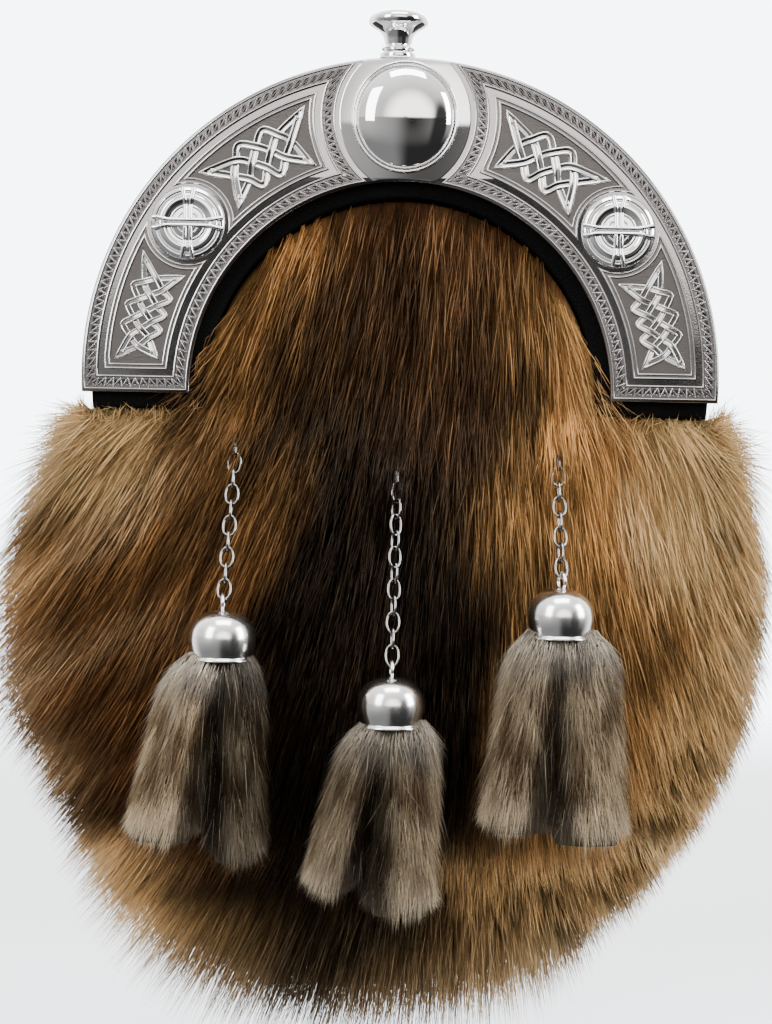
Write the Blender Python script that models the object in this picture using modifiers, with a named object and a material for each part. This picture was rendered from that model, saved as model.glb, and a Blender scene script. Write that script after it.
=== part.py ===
"""A full-dress sporran pouch: a fur pouch under a polished cast cantle, with three fur tassels on chains.

Sizes are in metres. The shapes are drawn about the centre of the cantle's outer arc: X runs to the right
as seen from the front, the front faces -Y and +Z is up. One empty then carries all of them, so that the
part's own origin lies in the loop on the back that the waist strap goes through.
"""

import math
from collections import namedtuple

import bmesh
import bpy
from mathutils import Matrix, Vector
from mathutils.bvhtree import BVHTree

# Gap between pieces that touch, and the distance within which points are made one.
SEAT_GAP = 0.0003
MERGE = 0.00001

# Cantle: an arch between two circles whose centres lie CANTLE_DROP apart, so that it is widest at the top.
CANTLE_OUTER_R = 0.0750
CANTLE_INNER_R = 0.0495
CANTLE_DROP = 0.0038
LEG_BOTTOM_Z = -0.0050
FIELD_Y = -0.0234
PLATE_BACK_Y = -0.0214
RIM_BACK_Y = -0.0155
RIM_WALL = 0.0014
RIM_INSET = 0.0004
RELIEF_HEIGHT = 0.0006
RELIEF_ROOT = 0.0008
ARC_STEP = 0.0095

# Bands of the relief, by their distance in from the edge of the arch.
BORDER_BAND = (0.0006, 0.0042)
FRAME_BAND = (0.0062, 0.0080)
KNOT_INSET = 0.0090
KNOT_RIB_R = 0.0008

# Centre surround: half its width, and the height there, at its top edge, at its widest and at its lower edge.
SURROUND_TOP = (0.0102, 0.0743)
SURROUND_MIDDLE = (0.0159, 0.0615)
SURROUND_FOOT = (0.0078, 0.0455)

# Polished dome, bosses and knob.
DOME_Z = 0.0606
DOME_WIDTH = 0.0252
DOME_HEIGHT = 0.0266
BOSS_R = 0.0088
BOSS_ANGLE = math.radians(55.4)
BOSS_RADIUS = 0.0613
BOSS_MARGIN = 0.0020
KNOB_X = -0.0020
KNOB_FOOT_Z = CANTLE_OUTER_R + SEAT_GAP

# Black leather frame behind the cantle.
ARCH_OUTER_R = 0.0729
ARCH_INNER_R = 0.0458
ARCH_BOTTOM_Z = -0.0086
ARCH_FRONT_Y = PLATE_BACK_Y + SEAT_GAP
ARCH_BACK_Y = -0.0171

# Leather pouch: a half circle under the cantle, which swells to the hips and closes in a full round bottom.
TOP_R = 0.0722
HIP_HALF_WIDTH = 0.0815
HIP_Z = -0.0450
BOTTOM_Z = -0.1320
BOTTOM_ROUNDNESS = 2.45
LEATHER = 0.0020
FRONT_Y = ARCH_BACK_Y + SEAT_GAP
WALL_FRONT_Y = -0.0060
WALL_BACK_Y = 0.0137
BELLY_DEPTH = 0.0095
BELLY_Z = -0.0620
BELLY_HALF_WIDTH = 0.0780
BELLY_HALF_HEIGHT = 0.0620
RING_CENTRE_Z = -0.0300
RING_SHARES = (0.42, 0.72, 0.90, 1)
WALL_MIDDLE_Y = 0.0040
BACK_Y = 0.0140
BACK_SCALE = 0.985
MOUTH_HALF_WIDTH = 0.0500
MOUTH_HALF_HEIGHT = 0.0050
MOUTH_Z = 0.0020

# Strap loop on the back.
LOOP_HALF_WIDTH = 0.0200
LOOP_Z = 0.0380
LOOP_GAP_HALF_HEIGHT = 0.0150
LOOP_GAP_DEPTH = 0.0075
LOOP_FLANGE = 0.0070
LOOP_CHAMFER = 0.0012
HANG_POINT = Vector((0, 0.0200, LOOP_Z))

# Pelt: how deep its dense coat is on the front, at the hips, at the bottom and at its back edge.
COAT = 0.0040
HIP_COAT = 0.0065
BOTTOM_COAT = 0.0105
BACK_EDGE_COAT = 0.0045

# Locks of the pelt. Those on the front lie in rows, flatter where a tassel presses on them.
LOCK_WIDTH = 0.0180
LOCK_LENGTH = 0.0280
LOCK_HEIGHT = 0.0024
PRESSED_LOCK_HEIGHT = 0.0011
LOCK_LEAN = math.radians(32)
FRONT_ROWS_TOP_Z = 0.0360
FRONT_ROW_STEP = 0.0210
APRON_R = 0.0400
FRONT_EDGE = 0.0080
CHAIN_HALF_WIDTH = 0.0030
TASSEL_HALF_WIDTH = 0.0210

# Locks round the edge fan out from a point low in the pouch, in rows one behind the other.
FAN_CENTRE = Vector((0, 0, -0.0550))
SIDE_LOCK_COUNT = 17
SIDE_LOCK_LENGTH = 0.0210
BOTTOM_LOCK_LENGTH = 0.0120
SIDE_LOCK_ROWS = (-0.0080, 0.0060)
DOWN_REACH = 0.0700

# Chains: oval links, and the eyes at both ends.
WIRE_R = 0.00035
LINK_WIDTH = 0.0036
LINK_LENGTH = 0.0055
LINK_PITCH = 0.00385
EYE_R = 0.0019
EYE_WIRE_R = 0.00042
EYE_TO_LINK = LINK_LENGTH / 2 - 2 * WIRE_R + EYE_R - EYE_WIRE_R - 0.00025
POST_STANDOFF = 0.0030
POST_R = 0.0010
POST_FLANGE_R = 0.0020
POST_HOLE_R = 0.0026

# Tassels: bell cap, head and tufts.
CAP_R = 0.00775
CAP_HALF_HEIGHT = 0.0059
CAP_EYE_Z = 0.0075
TASSEL_CLEARANCE = 0.0016
HEAD_R = 0.0056
HEAD_TOP_Z = 0.0008
HEAD_FOOT_Z = -0.0110
TUFT_RIBS = 6
TUFT_HALF_DEPTH = 0.0088
TUFT_TIP = 0.0045

# One row for each tassel: where its cap and the top of its chain are, how the chain's links are turned about
# it, and the foot and half width of its two tufts.
Tassel = namedtuple("Tassel", "name cap_x cap_z post_x links first_turn last_turn tufts")
Tuft = namedtuple("Tuft", "foot_x foot_z half_width")
LEFT_TUFTS = (Tuft(-0.0509, -0.1088, 0.0096), Tuft(-0.0346, -0.1094, 0.0079))
MIDDLE_TUFTS = (Tuft(-0.0103, -0.1221, 0.0086), Tuft(0.0045, -0.1238, 0.0086))
RIGHT_TUFTS = (Tuft(0.0284, -0.1043, 0.0083), Tuft(0.0448, -0.1064, 0.0108))
TASSELS = (
    Tassel("left", -0.0397, -0.0611, -0.0382, 9, 0, 0, LEFT_TUFTS),
    Tassel("middle", -0.0007, -0.0755, -0.0003, 11, 45, 5, MIDDLE_TUFTS),
    Tassel("right", 0.0379, -0.0546, 0.0374, 7, 0, 20, RIGHT_TUFTS),
)

Finish = namedtuple("Finish", "colour metallic roughness")
FINISHES = {
    "polished_metal": Finish((0.86, 0.87, 0.88), 1.0, 0.06),
    "cast_metal": Finish((0.62, 0.63, 0.65), 1.0, 0.22),
    "chain_metal": Finish((0.74, 0.74, 0.75), 1.0, 0.15),
    "black_leather": Finish((0.018, 0.017, 0.017), 0.0, 0.45),
    "pelt": Finish((0.135, 0.072, 0.034), 0.0, 0.75),
    "tassel_fur": Finish((0.235, 0.190, 0.150), 0.0, 0.80),
}

Side = namedtuple("Side", "centre radius inward")


def clear_scene():
    for obj in list(bpy.data.objects):
        bpy.data.objects.remove(obj)


def new_collection(name, helper=False):
    collection = bpy.data.collections.new(name)
    bpy.context.scene.collection.children.link(collection)
    collection.hide_render = helper
    return collection


def new_material(name, finish):
    material = bpy.data.materials.new(name)
    material.use_nodes = True
    shader = material.node_tree.nodes["Principled BSDF"]
    shader.inputs["Base Color"].default_value = (*finish.colour, 1)
    shader.inputs["Metallic"].default_value = finish.metallic
    shader.inputs["Roughness"].default_value = finish.roughness
    material.diffuse_color = (*finish.colour, 1)
    return material


clear_scene()
PARTS = new_collection("sporran_pouch")
HELPERS = new_collection("cutters", helper=True)
MATERIALS = {name: new_material(name, finish) for name, finish in FINISHES.items()}
HANGER = bpy.data.objects.new("hang_point", None)
HANGER.location = -HANG_POINT
PARTS.objects.link(HANGER)


def add_object(name, mesh, finish, helper=False):
    """A part in the shared frame, or a helper that only cuts or joins."""
    obj = bpy.data.objects.new(name, mesh)
    (HELPERS if helper else PARTS).objects.link(obj)
    obj.parent = HANGER
    if helper:
        obj.hide_render = True
        obj.display_type = "WIRE"
    elif finish:
        mesh.materials.append(MATERIALS[finish])
    return obj


def shade(obj, angle=40):
    obj.data.shade_smooth()
    obj.data.set_sharp_from_angle(angle=math.radians(angle))


def mesh_from(bm, name):
    mesh = bpy.data.meshes.new(name)
    bmesh.ops.remove_doubles(bm, verts=bm.verts, dist=MERGE)
    bmesh.ops.recalc_face_normals(bm, faces=bm.faces)
    bm.to_mesh(mesh)
    bm.free()
    return mesh


def mesh_of_object(obj, name):
    """The evaluated object as a plain mesh in the shared frame, its caps welded. The object is removed."""
    bpy.context.view_layer.update()
    graph = bpy.context.evaluated_depsgraph_get()
    mesh = bpy.data.meshes.new_from_object(obj.evaluated_get(graph))
    bm = bmesh.new()
    bm.from_mesh(mesh)
    bmesh.ops.transform(bm, matrix=obj.matrix_world, verts=bm.verts)
    bpy.data.objects.remove(obj)
    return mesh_from(bm, name)


def curve_object(loops, cyclic=True, flat=False):
    """Straight-sided loops or lines of points as one curve object."""
    curve = bpy.data.curves.new("outline", "CURVE")
    curve.dimensions = "2D" if flat else "3D"
    for points in loops:
        spline = curve.splines.new("POLY")
        spline.points.add(len(points) - 1)
        for target, point in zip(spline.points, points):
            target.co = (*point, 0, 1) if flat else (*point, 1)
        spline.use_cyclic_u = cyclic
    obj = bpy.data.objects.new("outline", curve)
    HELPERS.objects.link(obj)
    return obj


def slab(name, loops, front_y, back_y):
    """A flat outline of (x, z) points, with holes where loops lie in each other, from front_y to back_y."""
    obj = curve_object(loops, flat=True)
    obj.data.fill_mode = "BOTH"
    obj.data.extrude = (back_y - front_y) / 2
    obj.rotation_euler = (math.radians(90), 0, 0)
    obj.location = (0, (front_y + back_y) / 2, 0)
    return mesh_of_object(obj, name)


def wire(name, loops, radius, cyclic, sides_step=0):
    """Round wire along lines of (x, y, z) points, with 4 sides and 2 more for each sides_step."""
    obj = curve_object(loops, cyclic=cyclic)
    obj.data.bevel_depth = radius
    obj.data.bevel_resolution = sides_step
    obj.data.use_fill_caps = True
    return mesh_of_object(obj, name)


def turned(name, profile, steps, centre, axis_to_front=False, stretch=1.0):
    """A profile of (radius, height) points that runs down the outer side, turned about its height."""
    bm = bmesh.new()
    points = [bm.verts.new((radius, 0, height)) for radius, height in profile]
    for first, second in zip(points, points[1:]):
        bm.edges.new((first, second))
    mesh = bpy.data.meshes.new(name)
    bm.to_mesh(mesh)
    bm.free()
    obj = bpy.data.objects.new(name, mesh)
    HELPERS.objects.link(obj)
    screw = obj.modifiers.new("turn", "SCREW")
    screw.steps = steps
    screw.render_steps = steps
    screw.use_merge_vertices = True
    screw.merge_threshold = MERGE
    place = Matrix.Translation(centre)
    if axis_to_front:
        place = place @ Matrix.Diagonal((1, 1, stretch, 1)) @ Matrix.Rotation(math.radians(90), 4, "X")
    obj.matrix_world = place
    return mesh_of_object(obj, name)


def joined(name, meshes):
    bm = bmesh.new()
    for mesh in meshes:
        bm.from_mesh(mesh)
    result = bpy.data.meshes.new(name)
    bm.to_mesh(result)
    bm.free()
    return result


def add_boolean(obj, mesh, operation, self_overlap=False):
    """Joins a mesh to the object, or cuts it out of the object."""
    helper = add_object(f"{obj.name}_{operation.lower()}", mesh, None, helper=True)
    modifier = obj.modifiers.new(operation.title(), "BOOLEAN")
    modifier.operation = operation
    modifier.object = helper
    modifier.use_self = self_overlap
    return modifier


def on_circle(centre, radius, angle):
    return (centre[0] + radius * math.cos(angle), centre[1] + radius * math.sin(angle))


def arc_points(centre, radius, start, end, count):
    """Points along an arc, both ends included."""
    return [on_circle(centre, radius, start + (end - start) * i / count) for i in range(count + 1)]


def circle_through(first, second, third):
    """Centre and radius of the circle through three points."""
    (ax, az), (bx, bz), (cx, cz) = first, second, third
    twice_area = 2 * (ax * (bz - cz) + bx * (cz - az) + cx * (az - bz))
    squares = [x * x + z * z for x, z in (first, second, third)]
    centre_x = (squares[0] * (bz - cz) + squares[1] * (cz - az) + squares[2] * (az - bz)) / twice_area
    centre_z = (squares[0] * (cx - bx) + squares[1] * (ax - cx) + squares[2] * (bx - ax)) / twice_area
    return (centre_x, centre_z), math.dist((centre_x, centre_z), first)


def meeting_point(first, second, inset, near):
    """Where two sides meet, each moved by the inset: of the two circles' meetings, the one near the guess."""
    first_r = first.radius + first.inward * inset
    second_r = second.radius + second.inward * inset
    apart = math.dist(first.centre, second.centre)
    along = (apart * apart + first_r * first_r - second_r * second_r) / (2 * apart)
    across = math.sqrt(first_r * first_r - along * along)
    ux = (second.centre[0] - first.centre[0]) / apart
    uz = (second.centre[1] - first.centre[1]) / apart
    foot = (first.centre[0] + along * ux, first.centre[1] + along * uz)
    both = [(foot[0] - sign * across * uz, foot[1] + sign * across * ux) for sign in (1, -1)]
    return min(both, key=lambda point: math.dist(point, near))


SURROUND_CENTRE, SURROUND_R = circle_through(SURROUND_TOP, SURROUND_MIDDLE, SURROUND_FOOT)
BOSS_CENTRE = (BOSS_RADIUS * math.sin(BOSS_ANGLE), BOSS_RADIUS * math.cos(BOSS_ANGLE))
FAR = 100.0

# Sides of the right half of the cantle. The leg's straight bottom is an arc of a very large circle.
OUTER_SIDE = Side((0, 0), CANTLE_OUTER_R, -1)
INNER_SIDE = Side((0, -CANTLE_DROP), CANTLE_INNER_R, 1)
LEG_SIDE = Side((0, LEG_BOTTOM_Z - FAR), FAR, 1)
SURROUND_SIDE = Side(SURROUND_CENTRE, SURROUND_R, 1)
BOSS_SIDE = Side(BOSS_CENTRE, BOSS_R + BOSS_MARGIN - FRAME_BAND[0], 1)
SURROUND_FROM_INSIDE = Side(SURROUND_CENTRE, SURROUND_R, -1)
SURROUND_LEFT = Side((-SURROUND_CENTRE[0], SURROUND_CENTRE[1]), SURROUND_R, -1)

# Closed outlines: their sides in order, and roughly where each meets the next.
BORDER = (
    (OUTER_SIDE, (0.070, -0.001)),
    (LEG_SIDE, (0.053, -0.001)),
    (INNER_SIDE, (0.013, 0.047)),
    (SURROUND_SIDE, (0.014, 0.072)),
)
UPPER_PANEL = (
    (OUTER_SIDE, (0.051, 0.046)),
    (BOSS_SIDE, (0.040, 0.035)),
    (INNER_SIDE, (0.017, 0.048)),
    (SURROUND_SIDE, (0.019, 0.065)),
)
LOWER_PANEL = (
    (OUTER_SIDE, (0.069, 0.000)),
    (LEG_SIDE, (0.055, 0.000)),
    (INNER_SIDE, (0.049, 0.023)),
    (BOSS_SIDE, (0.061, 0.032)),
)
SURROUND = (
    (OUTER_SIDE, (0.010, 0.074)),
    (SURROUND_FROM_INSIDE, (0.008, 0.046)),
    (INNER_SIDE, (-0.008, 0.046)),
    (SURROUND_LEFT, (-0.010, 0.074)),
)


def short_turn(start, end):
    """The angle from start to end, the short way round."""
    return (end - start + math.pi) % (2 * math.pi) - math.pi


def side_arcs(outline, inset):
    """One (centre, radius, first angle, turn) for each side of an outline moved in by the inset."""
    corners = []
    for index, (side, near) in enumerate(outline):
        following = outline[(index + 1) % len(outline)][0]
        corners.append(meeting_point(side, following, inset, near))
    arcs = []
    for index, (side, _) in enumerate(outline):
        begin = corners[index - 1]
        end = corners[index]
        start = math.atan2(begin[1] - side.centre[1], begin[0] - side.centre[0])
        stop = math.atan2(end[1] - side.centre[1], end[0] - side.centre[0])
        arcs.append((side.centre, side.radius + side.inward * inset, start, short_turn(start, stop)))
    return arcs


def outline_loop(outline, inset, mirror=1):
    """The outline as a closed loop of points, with a corner at each end of its arcs."""
    loop = []
    for centre, radius, start, turn in side_arcs(outline, inset):
        count = max(1, round(abs(turn) * min(radius, CANTLE_OUTER_R) / ARC_STEP))
        loop += arc_points(centre, radius, start, start + turn, count)[:-1]
    return [(mirror * x, z) for x, z in loop]


def arc_point(arc, fraction):
    centre, radius, start, turn = arc
    return Vector(on_circle(centre, radius, start + turn * fraction))


def panel_point(arcs, along, across):
    """A point of a four-sided panel: along runs with its outer side, across from its inner to its outer."""
    outer, far, inner, near = arcs
    lengthways = (1 - across) * arc_point(inner, 1 - along) + across * arc_point(outer, along)
    crossways = (1 - along) * arc_point(near, across) + along * arc_point(far, 1 - across)
    corners = (1 - along) * ((1 - across) * arc_point(near, 0) + across * arc_point(near, 1)) + along * (
        (1 - across) * arc_point(far, 1) + across * arc_point(far, 0)
    )
    return lengthways + crossways - corners


def fold(distance, span):
    """A distance walked to and fro over a span."""
    distance %= 2 * span
    return distance if distance < span else 2 * span - distance


def plait(outline, loops_along, loops_across, mirror):
    """The strands of a plait, laid in a panel, as closed lines of points on the cantle's field."""
    arcs = side_arcs(outline, KNOT_INSET)
    steps = 4 * math.lcm(loops_along, loops_across)
    strands = []
    for strand in range(math.gcd(loops_along, loops_across)):
        points = []
        for step in range(steps):
            walked = (step + 0.5) / 2
            along = fold(walked, loops_along) / loops_along
            across = fold(walked + 0.5 + strand, loops_across) / loops_across
            x, z = panel_point(arcs, along, across)
            points.append((mirror * x, FIELD_Y, z))
        strands.append(points)
    return strands


def arch_loop(outer_r, inner_r, bottom_z, outer_count=26, inner_count=18):
    """An arch with straight-cut legs as one closed loop, from the right leg over the top to the left."""
    outer_end = math.asin(bottom_z / outer_r)
    inner_end = math.asin((bottom_z + CANTLE_DROP) / inner_r)
    outer = arc_points((0, 0), outer_r, outer_end, math.pi - outer_end, outer_count)
    inner = arc_points((0, -CANTLE_DROP), inner_r, math.pi - inner_end, inner_end, inner_count)
    return outer + inner


def add_cantle():
    plate_loop = arch_loop(CANTLE_OUTER_R, CANTLE_INNER_R, LEG_BOTTOM_Z)
    cantle = add_object("cantle", slab("cantle", [plate_loop], FIELD_Y, PLATE_BACK_Y), "cast_metal")

    rim_r = CANTLE_OUTER_R - RIM_INSET
    rim_bottom = LEG_BOTTOM_Z + RIM_INSET
    rim_end = math.asin(rim_bottom / rim_r)
    rim_loop = arc_points((0, 0), rim_r, rim_end, math.pi - rim_end, 26)
    rim_loop += arc_points((0, 0), rim_r - RIM_WALL, math.pi - rim_end, rim_end, 26)
    add_boolean(cantle, slab("rim", [rim_loop], PLATE_BACK_Y - RELIEF_ROOT, RIM_BACK_Y), "UNION")

    front_y = FIELD_Y - RELIEF_HEIGHT
    root_y = FIELD_Y + RELIEF_ROOT
    relief = [slab("surround", [outline_loop(SURROUND, BORDER_BAND[0])], front_y, root_y)]
    for mirror in (1, -1):
        border = [outline_loop(BORDER, inset, mirror) for inset in BORDER_BAND]
        relief.append(slab("border", border, front_y, root_y))
        for panel, loops_along in ((UPPER_PANEL, 4), (LOWER_PANEL, 5)):
            frame = [outline_loop(panel, inset, mirror) for inset in FRAME_BAND]
            relief.append(slab("frame", frame, front_y, root_y))
            relief.append(wire("knot", plait(panel, loops_along, 2, mirror), KNOT_RIB_R, cyclic=True))
    add_boolean(cantle, joined("relief", relief), "UNION", self_overlap=True)
    shade(cantle, 30)


def add_centre_dome():
    half_width = DOME_WIDTH / 2
    profile = [
        (0, 0.0052),
        (0.40 * half_width, 0.0048),
        (0.72 * half_width, 0.0034),
        (0.93 * half_width, 0.0011),
        (0.95 * half_width, 0.0014),
        (half_width, 0.0010),
        (half_width, 0),
        (0, 0),
    ]
    centre = (0, FIELD_Y - RELIEF_HEIGHT - SEAT_GAP, DOME_Z)
    mesh = turned("centre_dome", profile, 20, centre, axis_to_front=True, stretch=DOME_HEIGHT / DOME_WIDTH)
    shade(add_object("centre_dome", mesh, "polished_metal"))


def add_bosses():
    profile = [
        (0, 0.0030),
        (0.0045, 0.0024),
        (0.0048, 0.0029),
        (0.0056, 0.0025),
        (0.0060, 0.0017),
        (0.0073, 0.0011),
        (0.0079, 0.0017),
        (BOSS_R, 0.0013),
        (BOSS_R, 0),
        (0, 0),
    ]
    face_y = FIELD_Y - SEAT_GAP
    for name, sign in (("boss_left", -1), ("boss_right", 1)):
        x = sign * BOSS_CENTRE[0]
        z = BOSS_CENTRE[1]
        mesh = turned(name, profile, 14, (x, face_y, z), axis_to_front=True)
        boss = add_object(name, mesh, "polished_metal")
        half_arm = [(0, face_y - 0.0030), (0.0044, face_y - 0.0026), (0.0081, face_y - 0.0013)]
        arm = [(-reach, y) for reach, y in reversed(half_arm[1:])] + half_arm
        level = [(x + reach, y, z) for reach, y in arm]
        upright = [(x, y, z + reach) for reach, y in arm]
        cross = [wire("arm", [level], 0.00065, False), wire("arm", [upright], 0.0007, False)]
        add_boolean(boss, joined(f"{name}_cross", cross), "UNION", self_overlap=True)
        shade(boss)


def add_finial_knob():
    profile = [
        (0, 0.0112),
        (0.0045, 0.0108),
        (0.0065, 0.0098),
        (0.0070, 0.0084),
        (0.0062, 0.0073),
        (0.0044, 0.0062),
        (0.0034, 0.0046),
        (0.0032, 0.0030),
        (0.0039, 0.0023),
        (0.0036, 0.0016),
        (0.0042, 0.0010),
        (0.0042, 0),
        (0, 0),
    ]
    centre = (KNOB_X, (FIELD_Y + RIM_BACK_Y) / 2, KNOB_FOOT_Z)
    shade(add_object("finial_knob", turned("finial_knob", profile, 12, centre), "polished_metal"))


def add_leather_arch():
    loop = arch_loop(ARCH_OUTER_R, ARCH_INNER_R, ARCH_BOTTOM_Z)
    add_object("leather_arch", slab("leather_arch", [loop], ARCH_FRONT_Y, ARCH_BACK_Y), "black_leather")


def smoothstep(value):
    value = min(max(value, 0), 1)
    return value * value * (3 - 2 * value)


def skin_outline(top_steps=6, side_steps=2, bottom_steps=7):
    """The pouch's outline as a closed loop of points, from the top clockwise as seen from the front."""
    right = [on_circle((0, 0), TOP_R, math.pi / 2 * (1 - i / top_steps)) for i in range(top_steps)]
    for i in range(side_steps):
        z = HIP_Z * i / side_steps
        right.append((TOP_R + (HIP_HALF_WIDTH - TOP_R) * smoothstep(z / HIP_Z), z))
    power = 2 / BOTTOM_ROUNDNESS
    for i in range(bottom_steps):
        angle = math.pi / 2 * i / bottom_steps
        x = HIP_HALF_WIDTH * math.cos(angle) ** power
        right.append((x, HIP_Z + (BOTTOM_Z - HIP_Z) * math.sin(angle) ** power))
    left = [(-x, z) for x, z in reversed(right[1:])]
    return right + [(0, BOTTOM_Z)] + left


def half_width_at(z):
    """Half the width of the pouch at a height."""
    if z >= 0:
        return math.sqrt(max(TOP_R * TOP_R - z * z, 0))
    if z >= HIP_Z:
        return TOP_R + (HIP_HALF_WIDTH - TOP_R) * smoothstep(z / HIP_Z)
    drop = min((HIP_Z - z) / (HIP_Z - BOTTOM_Z), 1)
    return HIP_HALF_WIDTH * (1 - drop**BOTTOM_ROUNDNESS) ** (1 / BOTTOM_ROUNDNESS)


def belly(x, z):
    """How far the front leather stands forward of its flat part."""
    reach = (x / BELLY_HALF_WIDTH) ** 2 + ((z - BELLY_Z) / BELLY_HALF_HEIGHT) ** 2
    return BELLY_DEPTH * max(0, 1 - reach) ** 1.5


def skin_point(outline_point, share):
    """A point of the front leather, at a share of the way from the middle of the pouch to its outline."""
    x = outline_point[0] * share
    z = RING_CENTRE_Z + (outline_point[1] - RING_CENTRE_Z) * share
    full_round = smoothstep((ARCH_BOTTOM_Z - outline_point[1]) / 0.030)
    round_from = 0.96 - 0.24 * full_round
    turn = max(0, (share - round_from) / (1 - round_from))
    edge_y = FRONT_Y + 0.0030 + (WALL_FRONT_Y - FRONT_Y - 0.0030) * full_round
    y = FRONT_Y - belly(x, z) + (edge_y - FRONT_Y) * (1 - math.sqrt(max(0, 1 - turn * turn)))
    return Vector((x, y, z))


def skin_surface(wall_back_y=WALL_BACK_Y):
    """The outer face of the leather: rings from the front's middle to the outline, then the side wall."""
    bm = bmesh.new()
    outline = skin_outline()
    rings = [[bm.verts.new(skin_point(point, share)) for point in outline] for share in RING_SHARES]
    edge_ring = rings[-1]
    for y in (WALL_MIDDLE_Y, wall_back_y):
        rings.append([bm.verts.new((vertex.co.x, y, vertex.co.z)) for vertex in edge_ring])
    centre = bm.verts.new((0, FRONT_Y - belly(0, RING_CENTRE_Z), RING_CENTRE_Z))
    count = len(outline)
    for i in range(count):
        following = (i + 1) % count
        bm.faces.new((centre, rings[0][i], rings[0][following]))
        for inner, outer in zip(rings, rings[1:]):
            bm.faces.new((inner[i], outer[i], outer[following], inner[following]))
    bmesh.ops.triangulate(bm, faces=bm.faces, quad_method="SHORT_EDGE")
    bmesh.ops.recalc_face_normals(bm, faces=bm.faces)
    bm.faces.ensure_lookup_table()
    if bm.faces[0].normal.y > 0:
        bmesh.ops.reverse_faces(bm, faces=bm.faces)
    bm.normal_update()
    return bm


SKIN = BVHTree.FromBMesh(skin_surface())


def leather_at(x, z):
    """How far back the front leather is, and which way it faces. Past the outline, the wall's front edge."""
    place, normal, _, _ = SKIN.ray_cast(Vector((x, -1, z)), Vector((0, 1, 0)))
    if place:
        return place.y, normal
    return WALL_FRONT_Y, Vector((x, 0, z - RING_CENTRE_Z)).normalized()


def leather_y_at(x, z):
    return leather_at(x, z)[0]


def add_wall(obj, thickness, outwards):
    solidify = obj.modifiers.new("wall", "SOLIDIFY")
    solidify.thickness = thickness
    solidify.offset = 1 if outwards else -1
    solidify.use_even_offset = True
    return solidify


def add_pouch_shell():
    mesh = bpy.data.meshes.new("pouch_shell")
    bm = skin_surface()
    bm.to_mesh(mesh)
    bm.free()
    shell = add_object("pouch_shell", mesh, "black_leather")
    add_wall(shell, LEATHER, outwards=False)
    shade(shell)


def add_back_panel():
    rise = RING_CENTRE_Z * (1 - BACK_SCALE)
    outline = [(BACK_SCALE * x, BACK_SCALE * z + rise) for x, z in skin_outline()]
    reach = MOUTH_HALF_WIDTH - MOUTH_HALF_HEIGHT
    mouth = arc_points((reach, MOUTH_Z), MOUTH_HALF_HEIGHT, -math.pi / 2, math.pi / 2, 4)
    mouth += arc_points((-reach, MOUTH_Z), MOUTH_HALF_HEIGHT, math.pi / 2, 3 * math.pi / 2, 4)
    panel = slab("back_panel", [outline, mouth], BACK_Y, BACK_Y + LEATHER)
    add_object("back_panel", panel, "black_leather")


def add_belt_loop():
    """A strip of leather in the form of a hat's section, sewn down above and below the strap."""
    flange_y = BACK_Y + LEATHER + SEAT_GAP
    bridge_y = flange_y + LOOP_GAP_DEPTH
    gap = LOOP_GAP_HALF_HEIGHT
    upper = [
        (flange_y, gap),
        (bridge_y, gap),
        (bridge_y, 0),
        (bridge_y + LEATHER, 0),
        (bridge_y + LEATHER, gap + LEATHER - LOOP_CHAMFER),
        (bridge_y + LEATHER - LOOP_CHAMFER, gap + LEATHER),
        (flange_y + LEATHER, gap + LEATHER),
        (flange_y + LEATHER, gap + LEATHER + LOOP_FLANGE),
        (flange_y, gap + LEATHER + LOOP_FLANGE),
    ]
    inner = upper[:2]
    outer = upper[4:]
    section = inner + [(y, -z) for y, z in reversed(inner)]
    section += [(y, -z) for y, z in reversed(outer)] + outer
    loop = [(y, LOOP_Z + z) for y, z in section]
    obj = curve_object([loop], flat=True)
    obj.data.fill_mode = "BOTH"
    obj.data.extrude = LOOP_HALF_WIDTH
    obj.rotation_euler = (math.radians(90), 0, math.radians(90))
    add_object("belt_loop", mesh_of_object(obj, "belt_loop"), "black_leather")


def add_lock(bm, points, half_widths, half_heights, outward):
    """One tapered lock of fur: a diamond section at each point but the last, which is its tip."""
    sections = []
    along = (points[-1] - points[0]).normalized()
    side = along.cross(outward).normalized()
    lift = side.cross(along).normalized()
    for point, half_width, half_height in zip(points, half_widths, half_heights):
        offsets = (side * half_width, lift * half_height, -side * half_width, -lift * half_height)
        sections.append([bm.verts.new(point + offset) for offset in offsets])
    tip = bm.verts.new(points[-1])
    bm.faces.new(reversed(sections[0]))
    for first, second in zip(sections, sections[1:]):
        for i in range(4):
            j = (i + 1) % 4
            bm.faces.new((first[i], first[j], second[j], second[i]))
    for i in range(4):
        bm.faces.new((sections[-1][i], sections[-1][(i + 1) % 4], tip))


def lean_at(x):
    """The angle at which the hair leans out from straight down."""
    return LOCK_LEAN * math.copysign(smoothstep(abs(x) / 0.080), x)


def front_y_at(x, z):
    """The front of the dense coat at a place inside the outline."""
    return leather_y_at(x, z) - SEAT_GAP - COAT


def pressed_by(tassel, place):
    """What lies on a lock that reaches this place: a chain, a tassel or nothing."""
    if place.z > POSTS[tassel.name].z + 0.005 or place.z < tassel.tufts[0].foot_z - TUFT_TIP:
        return None
    if place.z > tassel.cap_z + 0.010:
        return "chain" if abs(place.x - tassel.cap_x) < CHAIN_HALF_WIDTH + LOCK_WIDTH / 2 else None
    return "tassel" if abs(place.x - tassel.cap_x) < TASSEL_HALF_WIDTH + LOCK_WIDTH / 2 else None


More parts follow.
